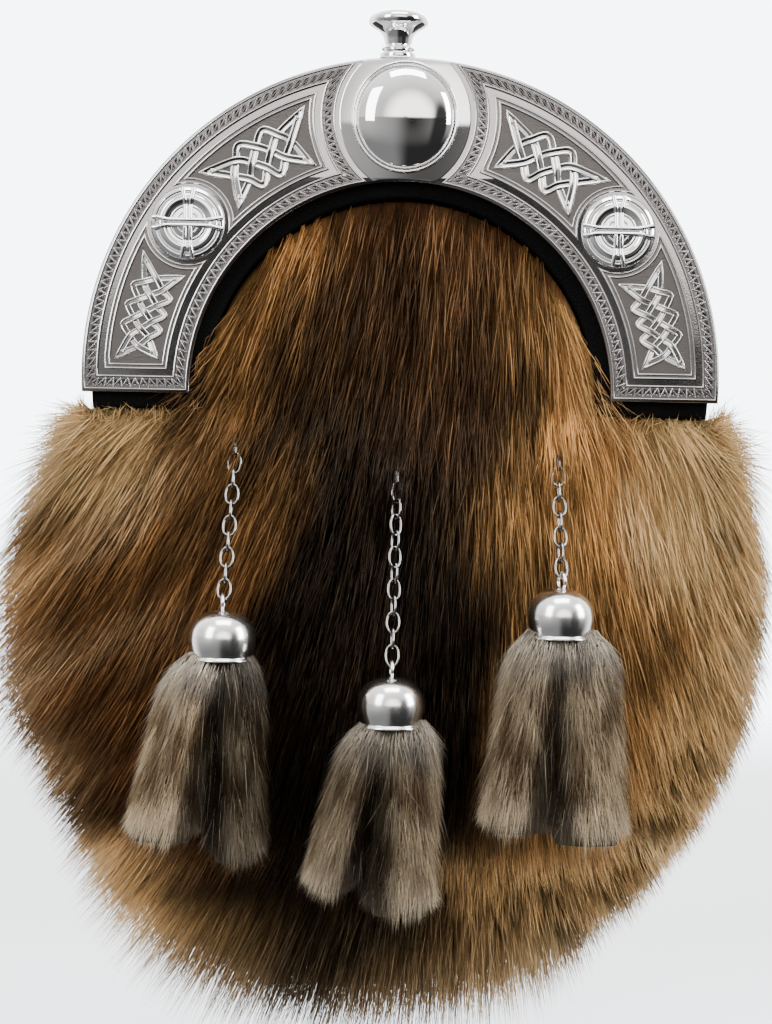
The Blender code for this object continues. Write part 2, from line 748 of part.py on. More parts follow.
def add_front_locks(bm):
    """Rows of locks down the front, each row half a lock over from the last. None starts under a chain."""
    row = 0
    z = FRONT_ROWS_TOP_Z
    while z > BOTTOM_Z + FRONT_EDGE:
        if z > ARCH_BOTTOM_Z - 0.010:
            reach = math.sqrt(max(APRON_R**2 - (z + CANTLE_DROP) ** 2, 0))
        else:
            reach = half_width_at(z) - FRONT_EDGE
        count = max(1, round(2 * reach / LOCK_WIDTH))
        for i in range(count + row % 2):
            x = 2 * reach * ((i + 0.5 * (1 - row % 2)) / count - 0.5)
            lean = lean_at(x)
            down = Vector((math.sin(lean), 0, -math.cos(lean)))
            places = [Vector((x, 0, z)) + down * LOCK_LENGTH * share for share in (0, 0.45, 1)]
            pressed = {pressed_by(tassel, place) for tassel in TASSELS for place in places}
            if "chain" in pressed:
                continue
            height = PRESSED_LOCK_HEIGHT if "tassel" in pressed else LOCK_HEIGHT
            for place, lift in zip(places, (-0.0010, 0, 0.7 * height)):
                place.y = front_y_at(place.x, place.z) - lift
            facing = leather_at(places[1].x, places[1].z)[1]
            add_lock(bm, places, (0.3 * LOCK_WIDTH, LOCK_WIDTH / 2), (0.5 * height, height), facing)
        z -= FRONT_ROW_STEP
        row += 1


def coat_depth(z, ring):
    """How thick the dense coat is at a ring of the skin. The last ring is followed by the middle point."""
    if ring < len(RING_SHARES) - 2 or ring > len(RING_SHARES) + 1:
        return COAT
    down = smoothstep((HIP_Z - z) / DOWN_REACH)
    full = HIP_COAT + (BOTTOM_COAT - HIP_COAT) * down
    full = COAT + (full - COAT) * smoothstep((0.010 - z) / 0.045)
    if ring == len(RING_SHARES) - 2:
        return (COAT + full) / 2
    if ring == len(RING_SHARES) + 1:
        return min(full, BACK_EDGE_COAT)
    return full


def add_side_locks(bm):
    """Locks round the pouch's edge, in rows one behind the other. They give the pelt its outline."""
    outline = [Vector((x, 0, z)) for x, z in skin_outline(12, 8, 24) if z < ARCH_BOTTOM_Z - 0.004]
    count = len(outline)
    for row, depth_y in enumerate(SIDE_LOCK_ROWS):
        for i in range(SIDE_LOCK_COUNT + row):
            place = (i + 0.5 - 0.5 * row) / SIDE_LOCK_COUNT * (count - 1)
            first = outline[min(int(place), count - 1)]
            second = outline[min(int(place) + 1, count - 1)]
            root = first.lerp(second, place - int(place))
            outward = (root - FAN_CENTRE).normalized()
            down = smoothstep((HIP_Z - root.z) / DOWN_REACH)
            along = (outward * (0.28 + 0.62 * down) + Vector((0, 0, -0.90))).normalized()
            length = SIDE_LOCK_LENGTH + (BOTTOM_LOCK_LENGTH - SIDE_LOCK_LENGTH) * down
            depth = coat_depth(root.z, len(RING_SHARES))
            root += outward * (depth - 0.0015 - 0.30 * length * down) + Vector((0, depth_y, 0))
            points = [root + along * length * share for share in (0, 0.55, 1)]
            half = LOCK_WIDTH / 2
            facing = outward * (1 - down) + Vector((0, math.copysign(down, depth_y), 0))
            add_lock(bm, points, (0.75 * half, 0.95 * half), (0.0020, 0.0032), facing)


def add_fur_coat():
    mesh = bpy.data.meshes.new("fur_coat")
    bm = skin_surface()
    for vertex in bm.verts:
        vertex.co += vertex.normal * SEAT_GAP
    bm.to_mesh(mesh)
    bm.free()
    coat = add_object("fur_coat", mesh, "pelt")
    depths = coat.vertex_groups.new(name="depth")
    columns = len(skin_outline())
    for vertex in mesh.vertices:
        depth = coat_depth(vertex.co.z, vertex.index // columns)
        depths.add([vertex.index], depth / BOTTOM_COAT, "REPLACE")
    wall = add_wall(coat, BOTTOM_COAT, outwards=True)
    wall.vertex_group = depths.name

    locks = bmesh.new()
    add_front_locks(locks)
    add_side_locks(locks)
    join = add_boolean(coat, mesh_from(locks, "locks"), "UNION", self_overlap=True)
    room = skin_surface(wall_back_y=0.030)
    for vertex in room.verts:
        vertex.co += vertex.normal * (SEAT_GAP + COAT / 2)
    bmesh.ops.holes_fill(room, edges=[edge for edge in room.edges if edge.is_boundary])
    add_boolean(join.object, mesh_from(room, "pouch_room"), "DIFFERENCE", self_overlap=True)

    clear_r = ARCH_INNER_R - 2 * SEAT_GAP
    loop = arch_loop(0.110, clear_r, ARCH_BOTTOM_Z - SEAT_GAP)
    cutters = [slab("arch_room", [loop], -0.060, 0.040)]
    for post in POSTS.values():
        profile = [(0, 0.020), (POST_HOLE_R, 0.020), (POST_HOLE_R, -0.020), (0, -0.020)]
        cutters.append(turned("post_room", profile, 8, post, axis_to_front=True))
    add_boolean(coat, joined("coat_room", cutters), "DIFFERENCE")
    shade(coat, 60)


def cap_centre(tassel):
    """The middle of a bell cap, whose tufts hang just clear of the pelt."""
    behind = min(front_y_at(tassel.cap_x, tassel.cap_z - drop) for drop in (0, 0.010, 0.020))
    return Vector((tassel.cap_x, behind - TASSEL_CLEARANCE - TUFT_HALF_DEPTH, tassel.cap_z))


def post_eye(tassel):
    """The middle of the eye a chain hangs from, which is as far from the cap's eye as the chain is long."""
    low = cap_centre(tassel) + Vector((0, 0, CAP_EYE_Z))
    length = (tassel.links - 1) * LINK_PITCH + 2 * EYE_TO_LINK
    eye = low + Vector((tassel.post_x - tassel.cap_x, 0, length))
    for _ in range(8):
        eye.y = front_y_at(eye.x, eye.z) - POST_STANDOFF
        eye.z = low.z + math.sqrt(length**2 - (eye.x - low.x) ** 2 - (eye.y - low.y) ** 2)
    return eye


POSTS = {tassel.name: post_eye(tassel) for tassel in TASSELS}


def eye_ring(centre, turn):
    """A round eye that stands upright, its hole facing sideways and turned by an angle about the vertical."""
    bm = bmesh.new()
    bpy.ops.mesh.primitive_torus_add(
        major_segments=10, minor_segments=5, major_radius=EYE_R, minor_radius=EYE_WIRE_R
    )
    ring = bpy.context.object
    bm.from_mesh(ring.data)
    bpy.data.objects.remove(ring)
    upright = Matrix.Rotation(turn, 4, "Z") @ Matrix.Rotation(math.pi / 2, 4, "Y")
    place = Matrix.Translation(centre) @ upright
    bmesh.ops.transform(bm, matrix=place, verts=bm.verts)
    return mesh_from(bm, "eye")


def link_turns(tassel):
    """The angle of each link about the chain: a quarter turn from its neighbours, plus the chain's twist."""
    first = math.radians(tassel.first_turn)
    twist = math.radians(tassel.last_turn - tassel.first_turn) / (tassel.links - 1)
    return [first + i * (math.pi / 2 + twist) for i in range(tassel.links)]


def add_chain(tassel):
    eye = POSTS[tassel.name]
    low = cap_centre(tassel) + Vector((0, 0, CAP_EYE_Z))
    up = (eye - low).normalized()
    front = Vector((0, -1, 0))
    across = up.cross(front).normalized()
    turns = link_turns(tassel)

    behind = eye.y + EYE_R - WIRE_R
    rim = [on_circle((eye.x, eye.z), POST_FLANGE_R, math.radians(45 * i)) for i in range(8)]
    skin_y = min(leather_y_at(x, z) for x, z in rim) - SEAT_GAP
    profile = [
        (0, skin_y - behind),
        (POST_R, skin_y - behind),
        (POST_R, 0.0010),
        (POST_FLANGE_R, 0.0010),
        (POST_FLANGE_R, 0),
        (0, 0),
    ]
    base = (eye.x, skin_y, eye.z)
    shank = turned("post", profile, 8, base, axis_to_front=True)
    post = add_object(f"chain_post_{tassel.name}", shank, "chain_metal")
    add_boolean(post, eye_ring(eye, 0), "UNION")
    shade(post)

    bpy.ops.mesh.primitive_torus_add(
        major_segments=10, minor_segments=5, major_radius=LINK_WIDTH / 2 - WIRE_R, minor_radius=WIRE_R
    )
    pattern = bpy.context.object
    link_mesh = pattern.data
    bpy.data.objects.remove(pattern)
    for vertex in link_mesh.vertices:
        if abs(vertex.co.y) > WIRE_R:
            vertex.co.y += math.copysign((LINK_LENGTH - LINK_WIDTH) / 2, vertex.co.y)
    link_mesh.materials.append(MATERIALS["chain_metal"])
    link_mesh.shade_smooth()
    for i, turn in enumerate(turns):
        centre = eye - up * (EYE_TO_LINK + i * LINK_PITCH)
        side = (across * math.cos(turn) + up.cross(across) * math.sin(turn)).normalized()
        facing = side.cross(up)
        link = add_object(f"link_{tassel.name}_{i + 1:02d}", link_mesh, None)
        rotation = Matrix((side, up, facing)).transposed()
        link.matrix_local = Matrix.Translation(centre) @ rotation.to_4x4()
    return turns[-1]


def add_bell_cap(tassel, last_turn):
    profile = [
        (0, CAP_HALF_HEIGHT),
        (0.0042, 0.0050),
        (0.0069, 0.0025),
        (CAP_R, -0.0008),
        (0.0070, -0.0046),
        (0.0074, -CAP_HALF_HEIGHT),
        (0.0063, -CAP_HALF_HEIGHT),
        (0.0063, -0.0042),
        (0.0069, -0.0008),
        (0.0045, 0.0036),
        (0, 0.0048),
    ]
    centre = cap_centre(tassel)
    name = f"bell_cap_{tassel.name}"
    cap = add_object(name, turned(name, profile, 12, centre), "polished_metal")
    add_boolean(cap, eye_ring(centre + Vector((0, 0, CAP_EYE_Z)), last_turn), "UNION")
    shade(cap, 50)


def tuft_mesh(head, tuft):
    """One tuft: a ribbed form that swells below the cap and ends in pointed locks, one to each rib."""
    bm = bmesh.new()
    foot = Vector((tuft.foot_x, head.y, tuft.foot_z))
    count = 2 * TUFT_RIBS
    rings = []
    for share, swell in ((0, 0.60), (0.16, 0.88), (0.50, 1.0), (0.82, 0.92), (1, 0.66)):
        middle = head.lerp(foot, share)
        middle.x = head.x + (foot.x - head.x) * (share**0.75)
        ring = []
        for i in range(count):
            angle = 2 * math.pi * i / count
            ribbed = swell * (1 if i % 2 else 0.84)
            x = tuft.half_width * ribbed * math.cos(angle)
            y = TUFT_HALF_DEPTH * ribbed * math.sin(angle)
            tip = TUFT_TIP * (i % 2) if share == 1 else 0
            ring.append(bm.verts.new(middle + Vector((x, y, -tip))))
        rings.append(ring)
    for first, second in zip(rings, rings[1:]):
        for i in range(count):
            j = (i + 1) % count
            bm.faces.new((first[i], second[i], second[j], first[j]))
    hollow = bm.verts.new(foot + Vector((0, 0, 0.0010)))
    for i in range(count):
        bm.faces.new((rings[-1][(i + 1) % count], rings[-1][i], hollow))
    bm.faces.new(rings[0])
    return mesh_from(bm, "tuft")


def add_tassel(tassel):
    centre = cap_centre(tassel)
    profile = [(0, HEAD_TOP_Z), (HEAD_R, HEAD_TOP_Z), (HEAD_R, HEAD_FOOT_Z), (0, HEAD_FOOT_Z)]
    head = add_object(f"tassel_{tassel.name}", turned("head", profile, 12, centre), "tassel_fur")
    meshes = []
    for tuft, sign in zip(tassel.tufts, (-1, 1)):
        top = centre + Vector((sign * 0.0026, 0, -CAP_HALF_HEIGHT - SEAT_GAP))
        meshes.append(tuft_mesh(top, tuft))
    add_boolean(head, joined("tufts", meshes), "UNION", self_overlap=True)
    shade(head, 60)


add_cantle()
add_centre_dome()
add_bosses()
add_finial_knob()
add_leather_arch()
add_pouch_shell()
add_back_panel()
add_belt_loop()
add_fur_coat()
for tassel_row in TASSELS:
    cap_turn = add_chain(tassel_row)
    add_bell_cap(tassel_row, cap_turn)
    add_tassel(tassel_row)
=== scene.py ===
import math

import bmesh
import bpy
import numpy as np
from mathutils import Matrix, Vector, kdtree, noise


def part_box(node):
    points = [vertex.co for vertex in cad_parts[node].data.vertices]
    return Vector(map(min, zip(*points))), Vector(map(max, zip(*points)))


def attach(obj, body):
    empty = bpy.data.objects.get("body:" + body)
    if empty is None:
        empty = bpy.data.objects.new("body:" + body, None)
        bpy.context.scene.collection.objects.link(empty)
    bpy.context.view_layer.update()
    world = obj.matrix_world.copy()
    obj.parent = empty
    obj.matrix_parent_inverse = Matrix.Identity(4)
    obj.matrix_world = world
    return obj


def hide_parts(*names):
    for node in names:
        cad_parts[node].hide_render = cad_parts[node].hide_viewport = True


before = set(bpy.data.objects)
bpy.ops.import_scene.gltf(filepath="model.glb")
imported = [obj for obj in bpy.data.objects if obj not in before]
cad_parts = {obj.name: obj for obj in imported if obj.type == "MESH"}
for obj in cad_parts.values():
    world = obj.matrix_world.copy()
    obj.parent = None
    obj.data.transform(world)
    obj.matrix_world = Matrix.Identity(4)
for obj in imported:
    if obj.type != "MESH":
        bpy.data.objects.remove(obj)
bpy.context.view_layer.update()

# ---------------------------------------------------------------------------------------------------
# Studio. The sporran hangs upright, seen level from in front with the camera a little rolled, before bright
# paper and between soft lamps. Polish mirrors a wall ahead and above, a dim floor and one dark round thing.
arch_centre = Vector((0, -0.020, -0.038))
camera_distance = 0.6016
camera_roll = math.radians(-1.13)
cantle_front_y = arch_centre.y - 0.0234
bpy.ops.object.select_all(action="DESELECT")
bpy.ops.object.camera_add(
    location=(-0.0027, cantle_front_y - camera_distance, -0.0700),
    rotation=(math.radians(90), camera_roll, 0),
)
camera = bpy.context.object
camera.data.lens = 90
camera.data.sensor_width = 36
camera.data.clip_start = 0.01
bpy.context.scene.camera = camera


def soft_panel(name, place, size, watts):
    """A soft lamp that faces the middle of the pouch."""
    bpy.ops.object.light_add(type="AREA", location=place)
    panel = bpy.context.object
    panel.name = name
    panel.data.shape = "RECTANGLE"
    panel.data.size = size[0]
    panel.data.size_y = size[1]
    panel.data.energy = watts
    aim = Vector((0, -0.03, -0.07)) - Vector(place)
    panel.rotation_euler = aim.to_track_quat("-Z", "Y").to_euler()


soft_panel("lamp_left", (-0.90, -0.95, 0.50), (0.5, 0.9), 14)
soft_panel("lamp_right", (1.25, -0.45, 0.45), (0.5, 0.9), 24)
soft_panel("lamp_above", (0.05, -0.45, 1.15), (0.9, 0.5), 16)
soft_panel("lamp_behind", (0.1, 1.20, 0.60), (1.2, 0.8), 22)


def wire(target, value):
    """Feeds a node's input, from another node's output or with a plain value."""
    if isinstance(value, bpy.types.NodeSocket):
        target.id_data.links.new(value, target)
    else:
        target.default_value = value


def add_node(tree, kind, inputs=None, **settings):
    """A shader node with its settings made and its inputs fed."""
    node = tree.nodes.new("ShaderNode" + kind)
    for name, value in settings.items():
        setattr(node, name, value)
    for name, value in (inputs or {}).items():
        wire(node.inputs[name], value)
    return node


def maths(tree, operation, *values):
    return add_node(tree, "Math", dict(enumerate(values)), operation=operation).outputs[0]


def distance(tree, place, centre):
    return add_node(tree, "VectorMath", {0: place, 1: centre}, operation="DISTANCE").outputs["Value"]


def ramp(tree, value, start, end, low=0.0, high=1.0, kind="SMOOTHSTEP"):
    """Takes a value from one range to another and holds it at both ends."""
    ranges = {"Value": value, "From Min": start, "From Max": end, "To Min": low, "To Max": high}
    return add_node(tree, "MapRange", ranges, interpolation_type=kind).outputs[0]


def new_material(name, colour, roughness, metallic=0.0):
    """A Principled material, returned with its node tree and shader."""
    material = bpy.data.materials.new(name)
    material.use_nodes = True
    shader = material.node_tree.nodes["Principled BSDF"]
    wire(shader.inputs["Base Color"], (*colour, 1))
    wire(shader.inputs["Roughness"], roughness)
    wire(shader.inputs["Metallic"], metallic)
    return material, material.node_tree, shader


studio = bpy.data.worlds.new("studio")
bpy.context.scene.world = studio
studio.use_nodes = True
tree = studio.node_tree
direction = add_node(tree, "TexCoord").outputs["Generated"]
sideways, onward, upward = add_node(tree, "SeparateXYZ", {0: direction}).outputs
room = 0.03
room_glows = ((onward, -0.15, 0.65, 2.2), (upward, 0.25, 0.9, 0.8), (sideways, 0.10, -0.26, 0.22))
for way, start, end, glow in room_glows:
    room = maths(tree, "ADD", ramp(tree, way, start, end, 0, glow), room)
from_patch = distance(tree, direction, (0.13, -0.99, 0.06))
ceiling_glow = ramp(tree, from_patch, 0.28, 0.58, 3.8, 0.52)
ceiling = ramp(tree, upward, 0.100, 0.135, 0, ceiling_glow)
around = ramp(tree, from_patch, 0, 0.90, 0, 0.42, "LINEAR")
walls = maths(tree, "MULTIPLY_ADD", around, ramp(tree, upward, -0.45, 0.02), ceiling)
squashed = add_node(tree, "VectorMath", {0: direction, 1: (1.0, 1.0, 0.55)}, operation="MULTIPLY").outputs[0]
past_drum = ramp(tree, distance(tree, squashed, (0.726, -0.677, -0.066)), 0.22, 0.38, 0.04)
ray = add_node(tree, "LightPath").outputs
in_mirrors = maths(tree, "MULTIPLY", maths(tree, "MULTIPLY", walls, past_drum), ray["Is Glossy Ray"])
warm = add_node(tree, "VectorMath", {0: (1.0, 0.96, 0.90), "Scale": in_mirrors}, operation="SCALE").outputs[0]
mirrored = add_node(tree, "VectorMath", {0: warm, 1: room}).outputs[0]
paper_glow = (7.0, 7.6, 8.0, 1)
shown = {"Factor": ray["Is Camera Ray"], "A": mirrored, "B": paper_glow}
shown = add_node(tree, "Mix", shown, data_type="RGBA").outputs["Result"]
wire(tree.nodes["Background"].inputs["Color"], shown)

floor_middle = (0, 0.45, -0.206)
bpy.ops.mesh.primitive_circle_add(vertices=96, radius=0.9, fill_type="NGON", location=floor_middle)
floor = bpy.context.object
floor.name = "floor"
bpy.ops.object.transform_apply(location=True)
paper, tree, shader = new_material("pale_floor", (0.92, 0.94, 0.97), 0.9)
fade = ramp(tree, distance(tree, add_node(tree, "TexCoord").outputs["Object"], floor_middle), 0.88, 0.24)
unmirrored = maths(tree, "SUBTRACT", 1.0, add_node(tree, "LightPath").outputs["Is Glossy Ray"])
wire(shader.inputs["Alpha"], maths(tree, "MULTIPLY", fade, unmirrored))
floor.data.materials.append(paper)

# ---------------------------------------------------------------------------------------------------
# Leather pouch. A bag of 2 mm black leather, moulded over a last: flat under the cantle, full in the
# belly, with a rounded front edge. The pelt is glued over it, so that only its rim shows from behind.
top_r = 0.0722
hip_half_width = 0.0815
hip_z = -0.0450
bottom_z = -0.1320
bottom_roundness = 2.45
leather_front_y = -0.0168
leather_thickness = 0.0020
arch_bottom_z = -0.0086
belly_z = -0.062
belly_half_width = 0.078
belly_half_height = 0.062
belly_rise = 0.0095
outline_steps = (26, 14, 30)


def smooth(value):
    """From 0 to 1 with a soft start and end. Takes a number or an array."""
    value = np.clip(value, 0, 1)
    return value * value * (3 - 2 * value)


def pouch_outline(top_steps, hip_steps, bottom_steps):
    """The pouch's outline from the top clockwise, as seen from the front, as rows of x and z."""
    right = []
    for i in range(top_steps):
        angle = math.pi / 2 * (1 - i / top_steps)
        right.append((top_r * math.cos(angle), top_r * math.sin(angle)))
    for i in range(hip_steps):
        share = i / hip_steps
        right.append((top_r + (hip_half_width - top_r) * float(smooth(share)), hip_z * share))
    power = 2 / bottom_roundness
    for i in range(bottom_steps):
        angle = math.pi / 2 * i / bottom_steps
        x = hip_half_width * math.cos(angle) ** power
        right.append((x, hip_z + (bottom_z - hip_z) * math.sin(angle) ** power))
    left = [(-x, z) for x, z in reversed(right[1:])]
    return np.array(right + [(0, bottom_z)] + left)


def belly_depth(x, z):
    """How far the pouch's belly stands out in front at a place."""
    reach = (x / belly_half_width) ** 2 + ((z - belly_z) / belly_half_height) ** 2
    return belly_rise * np.clip(1 - reach, 0, None) ** 1.5


def pouch_skin(outline):
    """The outer face of the leather as rings of points, from the middle of the front to the back edge."""
    near_edge = 0.72 + 0.28 * np.sin(np.linspace(0, math.pi / 2, 13))
    shares = np.concatenate([np.linspace(0.06, 0.66, 9), near_edge])
    full_round = smooth((arch_bottom_z - outline[:, 1]) / 0.030)
    round_from = 0.96 - 0.24 * full_round
    edge_y = leather_front_y + 0.0030 + 0.0078 * full_round
    rings = []
    for share in shares:
        x = outline[:, 0] * share
        z = -0.030 + (outline[:, 1] + 0.030) * share
        turn = np.clip((share - round_from) / (1 - round_from), 0, 1)
        y = leather_front_y - belly_depth(x, z)
        y += (edge_y - leather_front_y) * (1 - np.sqrt(1 - turn * turn))
        rings.append(np.stack([x, y, z], axis=1))
    for back in (0.12, 0.3, 0.5, 0.7, 0.86, 1):
        ring = rings[len(shares) - 1].copy()
        ring[:, 1] = edge_y + (0.0137 - edge_y) * back
        rings.append(ring)
    return np.array(rings)


def ring_normals(rings):
    """Outward normals of a closed set of rings, whose first ring faces the front."""
    along = np.gradient(rings, axis=0)
    around = np.roll(rings, -1, axis=1) - np.roll(rings, 1, axis=1)
    normals = np.cross(around, along)
    normals /= np.linalg.norm(normals, axis=2, keepdims=True)
    return -normals if normals[0, 0, 1] > 0 else normals


def select_only(piece):
    bpy.ops.object.select_all(action="DESELECT")
    piece.select_set(True)
    bpy.context.view_layer.objects.active = piece


def new_piece(name, data):
    """An object for a mesh or a curve, placed in the scene and the only one selected."""
    piece = bpy.data.objects.new(name, data)
    bpy.context.scene.collection.objects.link(piece)
    select_only(piece)
    return piece


def shell_of_rings(name, outer, inner):
    """A closed wall between two sets of rings that share their back edge."""
    rows, columns, _ = outer.shape
    shell = bmesh.new()
    faces = []
    for rings, turned_in in ((outer, False), (inner, True)):
        grid = [[shell.verts.new(point) for point in ring] for ring in rings]
        hub = shell.verts.new(rings[0].mean(axis=0))
        for i in range(columns):
            j = (i + 1) % columns
            faces.append((hub, grid[0][i], grid[0][j]))
            for near, far in zip(grid, grid[1:]):
                faces.append((near[i], far[i], far[j], near[j]))
        if turned_in:
            for i in range(columns):
                j = (i + 1) % columns
                faces.append((outer_rim[i], grid[-1][i], grid[-1][j], outer_rim[j]))
        outer_rim = grid[-1]
    for face in faces:
        shell.faces.new(face)
    bmesh.ops.recalc_face_normals(shell, faces=shell.faces)
    mesh = bpy.data.meshes.new(name)
    shell.to_mesh(mesh)
    shell.free()
    mesh.shade_smooth()
    return new_piece(name, mesh)


def seat(piece, material, slot, *nodes):
    """Bakes the piece's place into its mesh, moves it from about the arch's centre to where the part is,
    and fixes it to the sporran."""
    bpy.context.view_layer.update()
    piece.data.transform(Matrix.Translation(arch_centre) @ piece.matrix_world)
    piece.matrix_world = Matrix.Identity(4)
    piece.data.materials.clear()
    piece.data.materials.append(material)
    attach(piece, "root")
    if nodes:
        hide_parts(*nodes)
    return piece


def new_group(name, inputs, outputs):
    """An empty group of number sockets, with the sockets that its inside reads and feeds."""
    group = bpy.data.node_groups.new(name, "ShaderNodeTree")
    for label, default in inputs.items():
        socket = group.interface.new_socket(label, in_out="INPUT", socket_type="NodeSocketFloat")
        socket.default_value = default
    for label in outputs:
        group.interface.new_socket(label, in_out="OUTPUT", socket_type="NodeSocketFloat")
    return group, group.nodes.new("NodeGroupInput").outputs, group.nodes.new("NodeGroupOutput").inputs


def raised(shader, height, strength, depth, **settings):
    """Raises the surface by a pattern's height."""
    bump = {"Strength": strength, "Distance": depth, "Height": height}
    wire(shader.inputs["Normal"], add_node(shader.id_data, "Bump", bump, **settings).outputs["Normal"])


grain, given, found = new_group(
    "leather_grain", {"Cells per metre": 900, "Crease depth": 0.6}, ("Height", "Gloss")
)
spot = add_node(grain, "TexCoord").outputs["Object"]
cells = {"Vector": spot, "Scale": given["Cells per metre"]}
cells = add_node(grain, "TexVoronoi", cells, feature="DISTANCE_TO_EDGE")
creases = {"Vector": spot, "Scale": 160, "Detail": 4, "Roughness": 0.6}
creases = add_node(grain, "TexNoise", creases).outputs["Fac"]
wire(found["Height"], maths(grain, "MULTIPLY_ADD", creases, given["Crease depth"], cells.outputs["Distance"]))
wire(found["Gloss"], ramp(grain, creases, 0, 1, 0.46, 0.68, "LINEAR"))


def leather_finish(name, colour, cells_per_metre, depth):
    material, tree, shader = new_material(name, colour, 0.6)
    wire(shader.inputs["Specular IOR Level"], 0.04)
    pattern = add_node(tree, "Group", node_tree=grain)
    wire(pattern.inputs["Cells per metre"], cells_per_metre)
    wire(shader.inputs["Roughness"], pattern.outputs["Gloss"])
    raised(shader, pattern.outputs["Height"], 0.5, depth)
    return material


# Darker than real black leather: its near-black is partly painted shade, for the deep gap inside the arch.
black_leather = leather_finish("black_leather", (0.003, 0.0028, 0.0028), 1100, 0.0004)
skin = pouch_skin(pouch_outline(*outline_steps))
pouch = shell_of_rings("pouch_leather", skin, skin - ring_normals(skin) * leather_thickness)
seat(pouch, black_leather, "black_leather", "pouch_shell")

# ---------------------------------------------------------------------------------------------------
# Leather back. One flat panel of the same leather, its edge bevelled and stitched to the pouch all
# round, with a slot for the mouth and, above it, the keeper that the waist strap goes through.
back_front_y = 0.0140
mouth_half_width = 0.0500
mouth_half_height = 0.0050
mouth_z = 0.0020
stitch_pitch = 0.0034
stitch_reach = 3.6
thread_radius = 0.0003


def curve_mesh(name, paths, closed=True, location=(0, 0, 0), rotation=(0, 0, 0), **settings):
    """A mesh from lines of points, filled or given a round section as the curve's settings say."""
    curve = bpy.data.curves.new(name, "CURVE")
    for key, value in settings.items():
        setattr(curve, key, value)
    for path in paths:
        spline = curve.splines.new("POLY")
        spline.points.add(len(path) - 1)
        for target, point in zip(spline.points, path):
            target.co = (*point, 1)
        spline.use_cyclic_u = closed
    piece = new_piece(name, curve)
    piece.location = location
    piece.rotation_euler = rotation
    bpy.ops.object.convert(target="MESH")
    return bpy.context.object


def cleaned(merge=0.0):
    """Merges the points of the selected piece that lie together and turns its faces outwards."""
    bpy.ops.object.mode_set(mode="EDIT")
    bpy.ops.mesh.select_all(action="SELECT")
    if merge:
        bpy.ops.mesh.remove_doubles(threshold=merge)
    bpy.ops.mesh.normals_make_consistent(inside=False)
    bpy.ops.object.mode_set(mode="OBJECT")


def flat_piece(name, loops, front_y, back_y, edge_round, steps=2):
    """A flat piece cut to closed outlines of (x, z), with holes where they lie inside each other."""
    piece = curve_mesh(
        name,
        [[(x, z, 0) for x, z in loop] for loop in loops],
        location=(0, (front_y + back_y) / 2, 0),
        rotation=(math.radians(90), 0, 0),
        dimensions="2D",
        fill_mode="BOTH",
        bevel_depth=edge_round,
        bevel_resolution=steps,
        offset=-edge_round,
        extrude=(back_y - front_y) / 2 - edge_round,
    )
    cleaned(0.000005)
    bpy.ops.object.shade_smooth_by_angle(angle=math.radians(35))
    return piece


def arc(centre, radius, start, end, count):
    """Points of an arc of (x, z), both ends included. Angles are in radians."""
    angles = [start + (end - start) * i / count for i in range(count + 1)]
    return [(centre[0] + radius * math.cos(a), centre[1] + radius * math.sin(a)) for a in angles]


def resampled(loop, pitch):
    """Points a fixed pitch apart along a closed loop of (x, z), each with the loop's direction there."""
    points = [Vector(p) for p in loop]
    points.append(points[0])
    lengths = np.cumsum([0] + [(b - a).length for a, b in zip(points, points[1:])])
    count = round(lengths[-1] / pitch)
    found = []
    for i in range(count):
        at = lengths[-1] * i / count
        k = min(int(np.searchsorted(lengths, at, side="right")) - 1, len(points) - 2)
        share = (at - lengths[k]) / (lengths[k + 1] - lengths[k])
        found.append((points[k].lerp(points[k + 1], share), (points[k + 1] - points[k]).normalized()))
    return found


def copies(name, pattern, places):
    """One object made of a copy of the pattern at each place, a 4x4 matrix."""
    mesh = pattern.data
    points = np.array([v.co for v in mesh.vertices])
    faces = [tuple(p.vertices) for p in mesh.polygons]
    every_point, every_face = [], []
    for i, place in enumerate(places):
        turn = np.array(place.to_3x3())
        every_point.append(points @ turn.T + np.array(place.translation))
        every_face += [tuple(index + i * len(points) for index in face) for face in faces]
    bpy.data.objects.remove(pattern)
    mesh = bpy.data.meshes.new(name)
    mesh.from_pydata(np.concatenate(every_point).tolist(), [], every_face)
    mesh.shade_smooth()
    return new_piece(name, mesh)


def mouth_loop(half_height):
    """A slot with round ends, round the middle of the mouth."""
    reach = mouth_half_width - mouth_half_height
    quarter = math.pi / 2
    right = arc((reach, mouth_z), half_height, -quarter, quarter, 12)
    return right + arc((-reach, mouth_z), half_height, quarter, 3 * quarter, 12)


def new_stitch():
    """One stitch of thread, a small ball drawn out along the seam."""
    bpy.ops.object.select_all(action="DESELECT")
    bpy.ops.mesh.primitive_uv_sphere_add(segments=8, ring_count=5, radius=thread_radius)
    bpy.ops.transform.resize(value=(stitch_reach, 1, 1))
    bpy.ops.object.transform_apply(scale=True)
    return bpy.context.object


back_outline = pouch_outline(*outline_steps) * 0.985 + np.array([0, -0.00045])
back_loops = [back_outline.tolist(), mouth_loop(mouth_half_height)]
back_face_y = back_front_y + leather_thickness
back = flat_piece("back_panel_leather", back_loops, back_front_y, back_face_y, 0.0005)
seat(back, black_leather, "black_leather", "back_panel")

thread, _, _ = new_material("waxed_thread", (0.035, 0.033, 0.032), 0.6)
stitch_places = []
seam = (pouch_outline(*outline_steps) * 0.945 + np.array([0, -0.0016])).tolist()
for loop in (seam, mouth_loop(mouth_half_height + 0.003)):
    for point, along in resampled(loop, stitch_pitch):
        turn = Matrix.Rotation(-math.atan2(along.y, along.x), 4, "Y")
        stitch_places.append(Matrix.Translation((point.x, back_face_y + 0.0001, point.y)) @ turn)
seat(copies("back_stitches", new_stitch(), stitch_places), thread, "black_leather")


